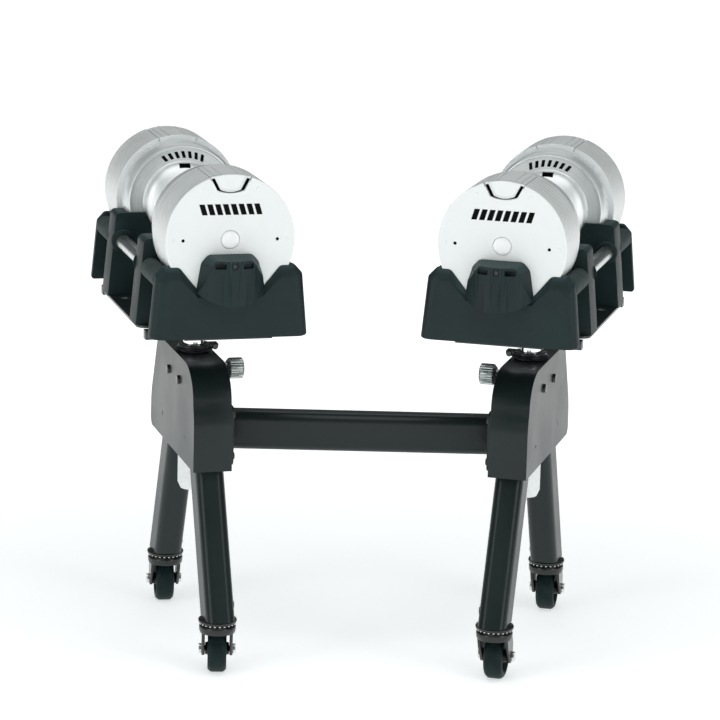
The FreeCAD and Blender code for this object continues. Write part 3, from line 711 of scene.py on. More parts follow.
@dataclass(frozen=True)
class MouldedPlastic(Finish):
    """Spark-textured moulded plastic with slightly uneven gloss and a painted highlight on its upward faces.
    """

    grain_scale: float = 1500.0
    grain_depth: float = 0.00012
    # How much lighter the upward faces are painted: a painted highlight standing in for light from above.
    painted_top_light: float = 1.18

    def dress(self, shader: Shader, where: SideFrame | None) -> None:
        """Builds the moulded grain, the handling marks in the gloss and the painted top light on upward
        faces.
        """
        point = shader.position()
        grain = shader.noise(point, self.grain_scale, 2.0)
        clouds = shader.noise(point, 14.0, 4.0)
        scuffs = shader.noise(shader.position(scale=(1, 1, 6)), 55.0, 5.0).between(0.56, 0.72)
        shade = clouds * 0.7 + grain * 0.3
        low, high = tinted(self.colour, 0.86), tinted(self.colour, self.painted_top_light)
        # Faces that turn upward are painted lighter: painted top light, not dust or wear.
        _, _, top_light_normal = shader.split(shader.node("ShaderNodeNewGeometry", {}, {}, "Normal"))
        share = shade.between(0.35, 0.65) * (0.32 / (self.painted_top_light - 0.86)) + top_light_normal.between(0.3, 0.85)
        shader.set(
            base_color=shader.blend(share, low, high),
            roughness=scuffs * 0.07 + clouds.between(0.3, 0.7, self.roughness - 0.04, self.roughness + 0.05),
        )
        shader.bump(grain, 0.5, self.grain_depth)


@dataclass(frozen=True)
class PowderCoat(Finish):
    """Semi-gloss baked paint on steel with a slight orange peel."""

    peel_scale: float = 420.0
    peel_depth: float = 0.00006
    coat: float = 0.35

    def dress(self, shader: Shader, where: SideFrame | None) -> None:
        """Builds the peel, the colour drift and the faint dust."""
        point = shader.position()
        peel = shader.noise(point, self.peel_scale, 2.0)
        drift = shader.noise(point, 9.0, 3.0)
        dust = shader.noise(point, 900.0, 1.0).between(0.66, 0.78)
        low, high = tinted(self.colour, 0.88), tinted(self.colour, 1.16)
        shader.set(
            base_color=shader.blend(drift.between(0.35, 0.65) * 0.9 + dust * 0.4, low, high),
            roughness=dust * 0.12 + drift.between(0.3, 0.7, self.roughness - 0.03, self.roughness + 0.05),
            coat_weight=self.coat,
            coat_roughness=0.12,
        )
        shader.bump(peel, 0.4, self.peel_depth)


@dataclass(frozen=True)
class BrushedMetal(Finish):
    """Bright metal with fine lines drawn along one direction."""

    stretch: tuple[float, float, float] = (1.0, 1.0, 40.0)
    line_scale: float = 60.0

    def dress(self, shader: Shader, where: SideFrame | None) -> None:
        """Builds the drawn lines and the dull patches."""
        lines = shader.noise(shader.position(where, self.stretch), self.line_scale, 4.0)
        clouds = shader.noise(shader.position(), 30.0, 3.0)
        low, high = tinted(self.colour, 0.9), tinted(self.colour, 1.08)
        shader.set(
            base_color=shader.blend((lines * 0.6 + clouds * 0.4).between(0.35, 0.65), low, high),
            roughness=lines.between(0.3, 0.7, self.roughness * 0.8, self.roughness * 1.25),
        )
        shader.bump(lines, 0.3, 0.00003)


@dataclass(frozen=True)
class KnurledSteel(Finish):
    """Steel with a fine diamond knurl round the dumbbell's axis."""

    pitch: float = 0.0011
    depth: float = 0.00035
    radius: float = 0.018

    def dress(self, shader: Shader, where: SideFrame | None) -> None:
        """Builds two crossing families of helical grooves, with painted shade in the grooves and painted
        highlight on the ridges.
        """
        x, y, z = shader.split(shader.position(where))
        around = x.math("ARCTAN2", z) * round(TAU * self.radius / (2 * self.pitch))
        along = y * (math.pi / self.pitch)
        ridges = (around + along).math("SINE") * (around - along).math("SINE")
        height = ridges.math("ABSOLUTE") ** 0.6
        wear = shader.noise(shader.position(where), 40.0, 3.0)
        # The grooves are painted dark and the ridge tops light: painted shade and painted highlight across
        # the knurl.
        shader.set(
            base_color=shader.blend(height, tinted(self.colour, 0.45), tinted(self.colour, 1.1)),
            roughness=wear.between(0.3, 0.7, self.roughness - 0.06, self.roughness + 0.1),
        )
        shader.bump(height, 0.7, self.depth)


@dataclass(frozen=True)
class Rubber(Finish):
    """Matte rubber or hard tyre compound, with a fine tooth and dusty patches."""

    def dress(self, shader: Shader, where: SideFrame | None) -> None:
        """Builds the tooth and the dust."""
        point = shader.position()
        tooth = shader.noise(point, 1300.0, 3.0)
        dust = shader.noise(point, 70.0, 4.0)
        low, high = tinted(self.colour, 0.85), tinted(self.colour, 1.3)
        shader.set(
            base_color=shader.blend(dust.between(0.4, 0.7), low, high),
            roughness=dust.between(0.3, 0.7, self.roughness - 0.05, self.roughness + 0.07),
        )
        shader.bump(tooth + dust * 0.5, 0.4, 0.00012)


class Finishes:
    """Every finish on the stand."""

    PLATE = TurnedSilver("plate_silver", (0.80, 0.83, 0.825), 0.42, 0.25, contrast=0.012)
    HUB = TurnedSilver("hub_silver", (0.80, 0.83, 0.83), 0.36, 0.5, ring_scale=700.0, contrast=0.06)
    BUTTON = TurnedSilver("button_silver", (0.92, 0.94, 0.94), 0.38, 0.2, ring_scale=1400.0)
    INK = MouldedPlastic("mark_ink", (0.004, 0.005, 0.005), 0.7, specular=0.04)
    GRIP = KnurledSteel("grip_knurl", (0.62, 0.64, 0.65), 0.32, 1.0)
    BAR = BrushedMetal("bar_ground", (0.66, 0.67, 0.68), 0.24, 1.0, stretch=(1.0, 60.0, 1.0))
    # The cradle's upward faces are painted up to 2.2 times lighter: a painted highlight from above.
    CRADLE = MouldedPlastic("cradle_moulding", (0.0085, 0.0195, 0.0205), 0.5, specular=0.24, painted_top_light=2.2)
    # Near-black for the index drum, and painted shade for the liner behind the notch's slits and the plugs in
    # the holes.
    DARK = MouldedPlastic("socket_black", (0.001, 0.0012, 0.0012), 0.9, specular=0.05)
    SLEEVE = Rubber("sleeve_compound", (0.045, 0.062, 0.062), 0.62, specular=0.3)
    RAIL = BrushedMetal("rail_satin", (0.6, 0.64, 0.63), 0.3, 1.0, stretch=(60.0, 4.0, 60.0))
    TRAY = PowderCoat("tray_coat", (0.012, 0.019, 0.02), 0.4)
    CHROME = BrushedMetal("post_plating", (0.86, 0.88, 0.88), 0.09, 1.0)
    GUIDE = BrushedMetal("guide_anodised", (0.80, 0.83, 0.82), 0.4, 0.5)
    COLLAR = MouldedPlastic("collar_moulding", (0.005, 0.008, 0.009), 0.34)
    KNOB = BrushedMetal("knob_turned", (0.5, 0.54, 0.53), 0.3, 1.0, stretch=(1.0, 1.0, 1.0), line_scale=400.0)
    STAND = PowderCoat("stand_coat", (0.009, 0.0165, 0.0165), 0.36, specular=0.25, coat=0.14)
    BOLT = PowderCoat("bolt_coat", (0.005, 0.007, 0.007), 0.3)
    CASTER = PowderCoat("caster_coat", (0.003, 0.0045, 0.0045), 0.3, specular=0.4, coat=0.4)
    TYRE = Rubber("tyre_compound", (0.008, 0.019, 0.019), 0.5, specular=0.15)
    CORE = MouldedPlastic("wheel_core", (0.004, 0.006, 0.006), 0.4, specular=0.3)
    ZINC = BrushedMetal("zinc_plate", (0.78, 0.8, 0.79), 0.25, 1.0, stretch=(1.0, 1.0, 1.0), line_scale=300.0)


# ---------------------------------------------------------------- fitting

@dataclass
class Fitter:
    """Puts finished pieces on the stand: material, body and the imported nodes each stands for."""

    count: int = 0

    def fit(self, piece: Piece, body: str, slot: str, material: bpy.types.Material, *nodes: str) -> Piece:
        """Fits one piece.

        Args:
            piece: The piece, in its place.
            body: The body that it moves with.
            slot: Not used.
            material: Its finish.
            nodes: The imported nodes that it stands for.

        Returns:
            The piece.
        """
        piece.data.materials.clear()
        piece.data.materials.append(material)
        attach(piece, body)
        if nodes:
            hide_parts(*nodes)
        self.count += 1
        log.info("fitted %s on %s", piece.name, body)
        return piece

    def fit_node(
        self, node: str, body: str, slot: str, material: bpy.types.Material, width: float = 0.0
    ) -> None:
        """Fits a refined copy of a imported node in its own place."""
        self.fit(Bench.refined(node, width), body, slot, material, node)


# ---------------------------------------------------------------- dumbbell

@dataclass
class Dumbbell:
    """A dumbbell: plate stacks, hubs with bells, a turning grip and end buttons."""

    length: float = 0.430
    plate_radius: float = 0.088
    plate_count: int = 7
    stack_length: float = 0.088
    plate_gap: float = 0.0005
    plate_edge: float = 0.0011
    bore: float = 0.0121
    button_radius: float = 0.0122
    button_depth: float = 0.004
    notch_top: float = 0.031
    notch_bottom: float = 0.0185
    notch_floor: float = 0.066
    notch_sag: float = 0.0035
    slit: float = 0.0011
    floor_slit: float = 0.0005
    side_slit: float = 0.0046
    mark_height: float = 0.041
    mark_width: float = 0.086
    mark_tall: float = 0.0145
    hub_radius: float = 0.081
    hub_inner: float = 0.085
    hub_outer: float = 0.1267
    ring_inner: float = 0.056
    ring_outer: float = 0.076
    ring_floor: float = 0.088
    bell_end: float = 0.062
    ring_bar_step: float = 8.0
    hole_x: float = 0.064

    @property
    def front(self) -> float:
        """Where the front end face is along the dumbbell."""
        return -self.length / 2

    @property
    def pitch(self) -> float:
        """The distance from one plate to the next."""
        return self.stack_length / self.plate_count

    def plate_profile(self, seat: float = 0.0) -> Profile:
        """Half a plate's section from its outer face inwards, with a seat for the button if it is deep."""
        thickness = self.pitch - self.plate_gap
        edge = self.plate_edge
        rim = [
            (self.plate_radius - edge - 0.0006, 0.0), (self.plate_radius - edge, 0.0),
            (self.plate_radius - edge * 0.3, edge * 0.3), (self.plate_radius, edge),
            (self.plate_radius, thickness - edge),
            (self.plate_radius - edge * 0.3, thickness - edge * 0.3),
            (self.plate_radius - edge, thickness), (self.plate_radius - edge - 0.0006, thickness),
            (self.bore, thickness),
        ]
        if not seat:
            return [(self.bore, 0.0)] + rim
        wall = self.button_radius + 0.0005
        return [(self.bore, seat), (wall, seat), (wall, 0.0004), (wall + 0.0004, 0.0)] + rim

    def key_cutters(self, depth: float) -> list[Piece]:
        """The slanting slots and the crest grooves along the top of the plates."""
        cutters = []
        for sign in (-1, 1):
            outline = [
                (sign * self.notch_top, self.notch_floor + 0.024),
                (sign * (self.notch_top - self.slit), self.notch_floor + 0.024),
                (sign * (self.notch_top - self.slit - 0.0045), self.notch_floor + 0.0125),
                (sign * (self.notch_top - 0.0045), self.notch_floor + 0.0125),
            ]
            cutters.append(Bench.prism("key_slot", in_xz(outline, -0.001), (0, depth, 0)))
            for x in (0.0125, 0.0215):
                rim = math.sqrt(self.plate_radius**2 - x**2)
                low = (sign * x - 0.0006, -0.001, rim - 0.0011)
                cutters.append(Bench.block("crest_groove", low, (sign * x + 0.0006, depth - 0.001, 0.092)))
        return cutters

    def notch_outline(self, inset: float, side: float = 0.0) -> list[tuple[float, float]]:
        """The coupling notch seen from the end: slanting sides and a sagging floor.

        Args:
            inset: How far the floor is moved in.
            side: How far the slanting sides are moved in.

        Returns:
            The outline's corners in x and z.
        """
        top, bottom = self.notch_top - side, self.notch_bottom - side * 0.9
        roof = self.plate_radius + 0.004
        slope = (self.notch_top - self.notch_bottom) / (0.09 - self.notch_floor)
        top_at_roof = top + slope * (roof - 0.09)
        floor = []
        for step in range(9):
            x = bottom * (1 - step / 4)
            floor.append((x, self.notch_floor + inset - self.notch_sag * (1 - (x / bottom) ** 2)))
        return [(-top_at_roof, roof), (top_at_roof, roof)] + floor

    def end_plate(self) -> Piece:
        """The outermost plate with its notch, keyed slots, button seat and two small holes."""
        plate = Bench.lathe("end_plate", self.plate_profile(self.button_depth + 0.0003), 160, ring=True)
        plate = Bench.copy(plate, "end_plate", ALONG_Y)
        Bench.cut(plate, Bench.prism("notch", in_xz(self.notch_outline(0.0), -0.001), (0, 0.005, 0)))
        for x in (-self.hole_x, self.hole_x):
            Bench.cut(plate, Bench.rod("hole", 0.0023, (x, -0.001, 0), (x, 0.005, 0), 24))
        Bench.cut(plate, *self.key_cutters(0.02))
        return Bench.smooth(plate)

    def tongue(self) -> Piece:
        """The key of the next plate that shows in the notch: a panel with wide bevelled borders."""
        outline = self.notch_outline(self.floor_slit, self.side_slit)
        tongue = Bench.prism("notch_key", in_xz(outline, 0.0035), (0, 0.001, 0))
        Bench.choose(tongue, "FACE", lambda face: face.normal.y < -0.9)
        bpy.ops.mesh.inset(thickness=0.0048, depth=0.0028)
        bpy.ops.object.mode_set(mode="OBJECT")
        cap = Bench.rod("rim", self.plate_radius - 0.0004, (0, -0.01, 0), (0, 0.02, 0), 160)
        Bench.combine(tongue, cap, "INTERSECT")
        return Bench.smooth(tongue, 20)

    def dark_backs(self) -> Piece:
        """Painted shade: a dark liner behind the notch's slits and dark plugs inside the two small holes, put
        where there is only shade.
        """
        back = Bench.prism("dark_back", in_xz(self.notch_outline(0.0004, 0.0004), 0.0032), (0, 0.0007, 0))
        cap = Bench.rod("rim", self.plate_radius - 0.003, (0, -0.01, 0), (0, 0.02, 0), 160)
        Bench.combine(back, cap, "INTERSECT")
        holes = (-self.hole_x, self.hole_x)
        hole_shades = [Bench.rod("plug", 0.0022, (x, 0.0009, 0), (x, 0.0045, 0), 24) for x in holes]
        for plug in hole_shades:
            Bench.ease(plug, 0.0002, 1)
        return Bench.join("dark_backs", [back, *hole_shades])

    def plain_plates(self) -> Piece:
        """The plates behind the end plate, each a piece of its own in one object."""
        plate = Bench.lathe("plate", self.plate_profile(), 160, ring=True)
        plate = Bench.copy(plate, "plate", ALONG_Y)
        Bench.cut(plate, *self.key_cutters(0.02))
        Bench.smooth(plate)
        rows = (Matrix.Translation((0, index * self.pitch, 0)) for index in range(1, self.plate_count))
        return Bench.scatter("plates", plate, rows)

    def button(self) -> Piece:
        """The end button: a slightly domed disc with a rounded edge."""
        radius, depth = self.button_radius, self.button_depth
        profile = [
            (radius, depth), (radius, 0.0007), (radius - 0.0002, 0.0003), (radius - 0.0007, 0.0),
            (radius * 0.7, -0.00012), (radius * 0.3, -0.0002),
        ]
        button = Bench.lathe("button", profile, 64)
        return Bench.smooth(Bench.copy(button, "button", ALONG_Y))

    def rivets(self) -> Piece:
        """The faint flush rivets on the end face."""
        profile = [(0.0029, 0.001), (0.0029, -0.0001), (0.0026, -0.0003), (0.001, -0.00036)]
        rivet = Bench.copy(Bench.lathe("rivet", profile, 24), "rivet", ALONG_Y)
        Bench.smooth(rivet)
        places = [(-0.0775, 0.0), (0.0775, 0.0), (-0.037, 0.068), (0.037, 0.068), (0.0, 0.029)]
        return Bench.scatter("rivets", rivet, (Matrix.Translation((x, 0, z)) for x, z in places))

    def bar_mark(self, width: float, tall: float, count: int) -> list[Piece]:
        """A generic row of slanting bars, flat in x and z about the origin."""
        slant = tall * 0.3
        pitch = (width - slant) / (count - 0.32)
        thick = pitch * 0.68
        bars = []
        for index in range(count):
            left = -width / 2 + index * pitch
            outline = [
                (left, -tall / 2), (left + thick, -tall / 2), (left + thick + slant, tall / 2),
                (left + slant, tall / 2),
            ]
            bars.append(Bench.prism("bar", in_xz(outline, -0.0003), (0, 0.0006, 0)))
        return bars

    def face_mark(self) -> Piece:
        """The row of bars above the button."""
        mark = Bench.join("mark", self.bar_mark(self.mark_width, self.mark_tall, 8))
        return Bench.copy(mark, "mark", Matrix.Translation((0, 0, self.mark_height)))

    def ring_mark(self) -> Piece:
        """The bars along the top of the hub's ring, set round its arc."""
        radius = (self.ring_inner + self.ring_outer) / 2
        bar = Bench.join("ring_bar", self.bar_mark(0.0075, 0.0095, 1))
        top = Matrix.Translation((0, self.ring_floor, radius))
        tilts = (math.radians(self.ring_bar_step * (index - 3)) for index in range(7))
        return Bench.scatter("ring_mark", bar, (Matrix.Rotation(tilt, 4, "Y") @ top for tilt in tilts))

    def hub(self) -> Piece:
        """The rear hub: a drum with a ring face, a window and a bell that narrows to the grip."""
        inner, outer, radius = self.hub_inner, self.hub_outer, self.hub_radius
        bell = [
            (self.ring_inner + 0.001, self.ring_floor),
            (self.ring_inner, self.ring_floor - 0.001), (self.ring_inner, 0.0835),
            (0.0552, 0.0810), (0.0530, 0.0780), (0.0495, 0.0748), (0.0450, 0.0719),
            (0.0400, 0.0692), (0.0350, 0.0667), (0.0300, 0.0642), (0.0265, 0.0625),
            (0.0245, self.bell_end), (0.0204, self.bell_end), (0.0204, 0.0984),
            (self.bore, 0.0984),
        ]
        drum = [
            (self.bore, outer), (radius - 0.002, outer), (radius - 0.002, outer - 0.0025),
            (radius - 0.0004, outer - 0.0029), (radius, outer - 0.0034), (radius, inner + 0.006),
            (radius - 0.0012, inner + 0.0027), (radius - 0.0028, inner + 0.0006),
            (self.ring_outer + 0.0006, inner), (self.ring_outer, inner + 0.0006),
            (self.ring_outer, self.ring_floor - 0.0008),
            (self.ring_outer - 0.0008, self.ring_floor),
        ]
        hub = Bench.copy(Bench.lathe("hub", drum + bell, 160, ring=True), "hub", ALONG_Y)
        window = Bench.block("window", (-0.008, 0.0745, 0.0475), (0.008, 0.0815, 0.060))
        patch = Bench.block("patch", (0.0792, 0.099, -0.017), (0.09, 0.113, 0.017))
        patch = Bench.copy(patch, "patch", Matrix.Rotation(math.radians(-12), 4, "Y"))
        Bench.cut(hub, window, patch)
        return Bench.smooth(hub)

    def window_floor(self) -> Piece:
        """The dark index drum that shows through the hub's window."""
        section = [(0.0746, 0.0476), (0.0814, 0.0476), (0.0814, 0.0545), (0.0746, 0.0484)]
        floor = Bench.prism("index_drum", in_yz(section, -0.0079), (0.0158, 0, 0))
        Bench.ease(floor, 0.0003, 2)
        return Bench.smooth(floor)

    def grip(self) -> Piece:
        """The turning handle with its swell, shoulders and journals."""
        half = self.bell_end - 0.0004
        side = [
            (self.bore, 0.098), (0.0199, 0.098), (0.0199, half), (0.0196, half - 0.0008),
            (0.0178, half - 0.0030), (0.0168, half - 0.0045), (0.0165, half - 0.0070),
            (0.0170, half * 0.7), (0.0177, half * 0.45), (0.0180, half * 0.2),
        ]
        profile = side + [(radius, -along) for radius, along in reversed(side)]
        return Bench.smooth(Bench.copy(Bench.lathe("grip", profile, 96, ring=True), "grip", ALONG_Y))

    def masters(self) -> dict[str, Piece]:
        """Every piece that is copied to the dumbbells, drawn about the dumbbell's middle."""
        to_face = Matrix.Translation((0, self.front, 0))
        at_face = {
            "end_plate": self.end_plate(),
            "notch_key": self.tongue(),
            "dark_backs": self.dark_backs(),
            "plates": self.plain_plates(),
            "button": self.button(),
            "rivets": self.rivets(),
            "face_mark": self.face_mark(),
        }
        drawn = {name: Bench.copy(piece, name, to_face) for name, piece in at_face.items()}
        hub_pieces = {"hub": self.hub(), "index_drum": self.window_floor(), "ring_mark": self.ring_mark()}
        for name, piece in hub_pieces.items():
            drawn[name] = Bench.copy(piece, name, FRONT_TO_BACK)
        drawn["grip"] = self.grip()
        return drawn

    def build(self, fitter: Fitter, sides: Sequence[SideFrame]) -> None:
        """Builds both dumbbells.

        Args:
            fitter: Fits the pieces.
            sides: The two halves.
        """
        masters = self.masters()
        looks = {
            "end_plate": ("plate_silver", Finishes.PLATE),
            "notch_key": ("plate_silver", Finishes.PLATE),
            "plates": ("plate_silver", Finishes.PLATE),
            "rivets": ("plate_silver", Finishes.PLATE),
            "button": ("button_silver", Finishes.BUTTON),
            "face_mark": ("stand_black", Finishes.INK),
            "ring_mark": ("stand_black", Finishes.INK),
            "index_drum": ("stand_black", Finishes.DARK),
            # The liner and the plugs in the holes are painted shade.
            "dark_backs": ("stand_black", Finishes.DARK),
            "hub": ("hub_silver", Finishes.HUB),
        }
        for where in sides:
            centre = where.matrix @ lift(where.centre.z)
            for end, flip in (("front", Matrix.Identity(4)), ("rear", FRONT_TO_BACK)):
                nodes = {
                    "end_plate": [where.name("plates_" + end)],
                    "button": [where.name("end_buttons")],
                    "hub": [where.name("hubs")],
                }
                for stem, (slot, finish) in looks.items():
                    double = Bench.copy(masters[stem], where.name(stem + "_" + end), centre @ flip)
                    body = where.name("dumbbell")
                    fitter.fit(double, body, slot, finish.material(where), *nodes.get(stem, []))
                bar = where.name("lock_bar_" + end)
                fitter.fit_node(bar, bar, "bar_steel", Finishes.BAR.material(where), 0.0008)
            grip = Bench.copy(masters["grip"], where.name("turning_grip"), centre)
            knurl = Finishes.GRIP.material(where)
            fitter.fit(grip, where.name("grip"), "grip_steel", knurl, where.name("grip"))


# ---------------------------------------------------------------- cradle

@dataclass
class Cradle:
    """A docking cradle: end walls, dividers, rails with sleeves and the tray."""

    dumbbell: Dumbbell
    axis_z: float
    tray_top: float = 0.484
    foot_half: float = 0.108
    shoulder_half: float = 0.100
    shoulder_z: float = 0.568
    shoulder_top: float = 0.581
    valley_z: float = 0.546
    outer_y: float = 0.2225
    thickness: float = 0.020
    lock_top: float = 0.597
    lock_under: float = 0.531
    lock_bulge: float = 0.026
    lock_half: float = 0.046
    lock_smile: float = 0.015
    slot_x: float = 0.0187
    slot_half: float = 0.0073
    slot_low: float = 0.5820
    slot_high: float = 0.5893
    corner_radius: float = 0.012
    crest_depth: float = 0.0078
    divider_inner: float = 0.079
    divider_outer: float = 0.121
    divider_top: float = 0.602
    divider_top_half: float = 0.097
    rail_x: float = 0.0875
    rail_z: float = 0.562
    rail_radius: float = 0.010
    sleeve_radius: float = 0.0144

    def on_rails(self, y: float) -> list[Matrix]:
        """The places of the two rails at one y."""
        return [Matrix.Translation((x, y, self.rail_z)) for x in (-self.rail_x, self.rail_x)]

    def cut_rail_bores(self, piece: Piece, start: float, end: float) -> None:
        """Bores a piece for both rails, from one y to another."""
        for x in (-self.rail_x, self.rail_x):
            ends = [(x, start, self.rail_z), (x, end, self.rail_z)]
            Bench.cut(piece, Bench.rod("rail_bore", self.rail_radius + 0.0001, *ends, 48))

    @property
    def lock_front(self) -> float:
        """Where the lock block's foremost point is along the cradle."""
        return -self.outer_y - self.lock_bulge

    @property
    def slot_middle(self) -> float:
        """The height of the middle of the slots and of the screw."""
        return (self.slot_low + self.slot_high) / 2

    def lock_outline(self, corners: Sequence[tuple[float, float, float]]) -> list[tuple[float, float]]:
        """The lock block's outline: a smile along the bottom and two rounded corners on each side."""
        half, rise = self.lock_half, self.lock_smile
        smile = []
        for step in range(13):
            x = half * (step / 6 - 1)
            smile.append((x, self.lock_under + rise * (x / half) ** 2, 0.0))
        upper = list(corners) + [(-x, z, radius) for x, z, radius in reversed(corners)]
        return rounded(smile + upper, 6)

    def lock_block(self) -> Piece:
        """The bulging block in the middle of an end wall, narrower in front than at the plates."""
        front = self.lock_front
        back = self.dumbbell.front - 0.0004
        near = self.lock_outline([(0.0265, 0.5850, 0.004), (0.0225, 0.5925, 0.006)])
        far = self.lock_outline([(0.0395, 0.5860, 0.012), (0.0300, self.lock_top, 0.011)])
        block = Bench.loft("lock_block", [in_xz(near, front - 0.001), in_xz(far, back)])
        radius = (self.lock_half**2 + self.lock_bulge**2) / (2 * self.lock_bulge) + 0.0008
        centre = front + radius
        bulge = Bench.rod("bulge", radius, (0, centre, 0.4), (0, centre, 0.7), 180)
        Bench.combine(block, bulge, "INTERSECT")
        return block

    def slots(self) -> list[Piece]:
        """Cutters for the two slots and the screw's counterbore."""
        front = self.lock_front
        cutters = []
        for x in (-self.slot_x, self.slot_x):
            outline = rounded([
                (x - self.slot_half, self.slot_low, 0.0015),
                (x + self.slot_half, self.slot_low, 0.0015),
                (x + self.slot_half, self.slot_high, 0.0015),
                (x - self.slot_half, self.slot_high, 0.0015),
            ], 3)
            cutters.append(Bench.prism("slot", in_xz(outline, front - 0.002), (0, 0.013, 0)))
        middle = self.slot_middle
        cutters.append(Bench.rod("bore", 0.0042, (0, front - 0.002, middle), (0, front + 0.004, middle), 32))
        return cutters

    def lock_screw(self) -> Piece:
        """The recessed socket screw between the two slots."""
        profile = [
            (0.0036, -0.002), (0.0036, 0.0008), (0.0031, 0.0013), (0.0017, 0.0013),
            (0.0015, 0.0002), (0.0004, 0.0002),
        ]
        screw = Bench.copy(Bench.lathe("lock_screw", profile, 24), "lock_screw", ALONG_Y.inverted())
        spot = (0, self.lock_front + 0.0026, self.slot_middle)
        return Bench.smooth(Bench.copy(screw, "lock_screw", Matrix.Translation(spot)))

    def wall_outline(self, depth: float) -> list[Place]:
        """The end wall's outline at a depth behind its front face.

        Args:
            depth: The distance behind the front face.

        Returns:
            The corners: the crest slopes back over the first few millimetres and the sides are rounded.
        """
        radius = self.corner_radius
        share = min(depth / self.crest_depth, 1.0)
        crest = math.sin(share * math.pi / 2)
        inset = radius - math.sqrt(max(radius**2 - (radius - min(depth, radius)) ** 2, 0.0))
        low = [
            (self.foot_half, self.tray_top, 0.004),
            (self.shoulder_half + 0.0006, self.shoulder_z - 0.010, 0.007),
            (0.0915, 0.5645, 0.007), (0.0730, 0.5650, 0.009), (0.0440, 0.5400, 0.004),
        ]
        high = [
            (self.foot_half, self.tray_top, 0.004),
            (self.shoulder_half, self.shoulder_z + 0.001, 0.007),
            (0.0890, self.shoulder_top, 0.007), (0.0690, self.shoulder_top, 0.009),
            (0.0400, self.valley_z, 0.004),
        ]
        half = []
        for (x, z, r), (far_x, far_z, _) in zip(low, high):
            pull = inset if x > 0.095 else inset * max(0.0, (x - 0.06) / 0.035)
            half.append((x + (far_x - x) * crest - pull, z + (far_z - z) * crest, r))
        outline = rounded(half + [(-x, z, r) for x, z, r in reversed(half)])
        return in_xz(outline, -self.outer_y + depth)

    def end_wall(self) -> Piece:
        """The front end wall with its rounded shoulders, valleys, lock block and plate seat."""
        face = -self.outer_y
        depths = (0.0, 0.0009, 0.0026, 0.0052, 0.0078, 0.012, self.thickness)
        wall = Bench.loft("end_wall", [self.wall_outline(depth) for depth in depths])
        Bench.combine(wall, self.lock_block(), "UNION")
        seat = self.dumbbell.plate_radius + 0.0006
        back = face + self.thickness + 0.001
        start = self.dumbbell.front - 0.0004
        Bench.cut(wall, Bench.rod("seat", seat, (0, start, self.axis_z), (0, back, self.axis_z), 160))
        self.cut_rail_bores(wall, -0.2092, 0)
        Bench.cut(wall, *self.slots())
        Bench.ease(wall, 0.0011, 3, 58)
        return Bench.smooth(wall, 38)

    def divider(self) -> Piece:
        """The front divider: a saddle for the hub, a lip beside the bell and a round-topped rim."""
        half = [(self.foot_half, self.tray_top, 0.0), (self.divider_top_half, self.divider_top, 0.009)]
        outline = rounded(half + [(-x, z, r) for x, z, r in reversed(half)], 8)
        width = self.divider_outer - self.divider_inner
        divider = Bench.prism("divider", in_xz(outline, -self.divider_outer), (0, width, 0))
        lip = -self.divider_inner - 0.0055
        saddle = self.dumbbell.hub_radius + 0.0005
        throat = self.dumbbell.ring_inner + 0.001
        start, end = -self.divider_outer - 0.001, -self.divider_inner + 0.001
        Bench.cut(
            divider,
            Bench.rod("saddle", saddle, (0, start, self.axis_z), (0, lip, self.axis_z), 160),
            Bench.rod("throat", throat, (0, lip - 0.002, self.axis_z), (0, end, self.axis_z), 120),
        )
        self.cut_rail_bores(divider, start, end)
        Bench.ease(divider, 0.0022, 3, 34)
        return Bench.smooth(divider, 34)

    def rail_boss(self) -> Piece:
        """The round boss that a rail passes through on a divider's inner face."""
        bore = self.rail_radius + 0.0001
        profile = [
            (bore, -0.001), (0.0165, -0.001), (0.0162, 0.0016), (0.0150, 0.0024),
            (bore + 0.0008, 0.0024), (bore, 0.0018),
        ]
        boss = Bench.copy(Bench.lathe("rail_boss", profile, 48, ring=True), "rail_boss", ALONG_Y)
        return Bench.smooth(Bench.scatter("rail_bosses", boss, self.on_rails(-self.divider_inner)))

    def sleeves(self) -> Piece:
        """The ribbed sleeves on the front ends of the two rails."""
        low, high = self.divider_outer + 0.0002, self.outer_y - self.thickness - 0.0002
        ribs = 30
        pitch = (high - low) / ribs
        radius, groove = self.sleeve_radius, self.sleeve_radius - 0.0009
        profile = [(self.rail_radius + 0.0002, low)]
        for index in range(ribs):
            base = low + index * pitch
            profile += [
                (groove, base), (radius, base + pitch * 0.25), (radius, base + pitch * 0.7),
                (groove, base + pitch * 0.95),
            ]
        profile += [(groove, high), (self.rail_radius + 0.0002, high)]
        sleeve = Bench.copy(Bench.lathe("sleeve", profile, 48, ring=True), "sleeve", ALONG_Y)
        spots = (FRONT_TO_BACK @ spot for spot in self.on_rails(0))
        return Bench.smooth(Bench.scatter("sleeves", sleeve, spots), 45)

    def rails(self) -> Piece:
        """The two rails with eased ends."""
        half = 0.209
        profile = [
            (self.rail_radius - 0.001, -half), (self.rail_radius, -half + 0.001),
            (self.rail_radius, half - 0.001), (self.rail_radius - 0.001, half),
        ]
        rail = Bench.copy(Bench.lathe("rail", profile, 64), "rail", ALONG_Y)
        return Bench.smooth(Bench.scatter("rails", rail, self.on_rails(0)))

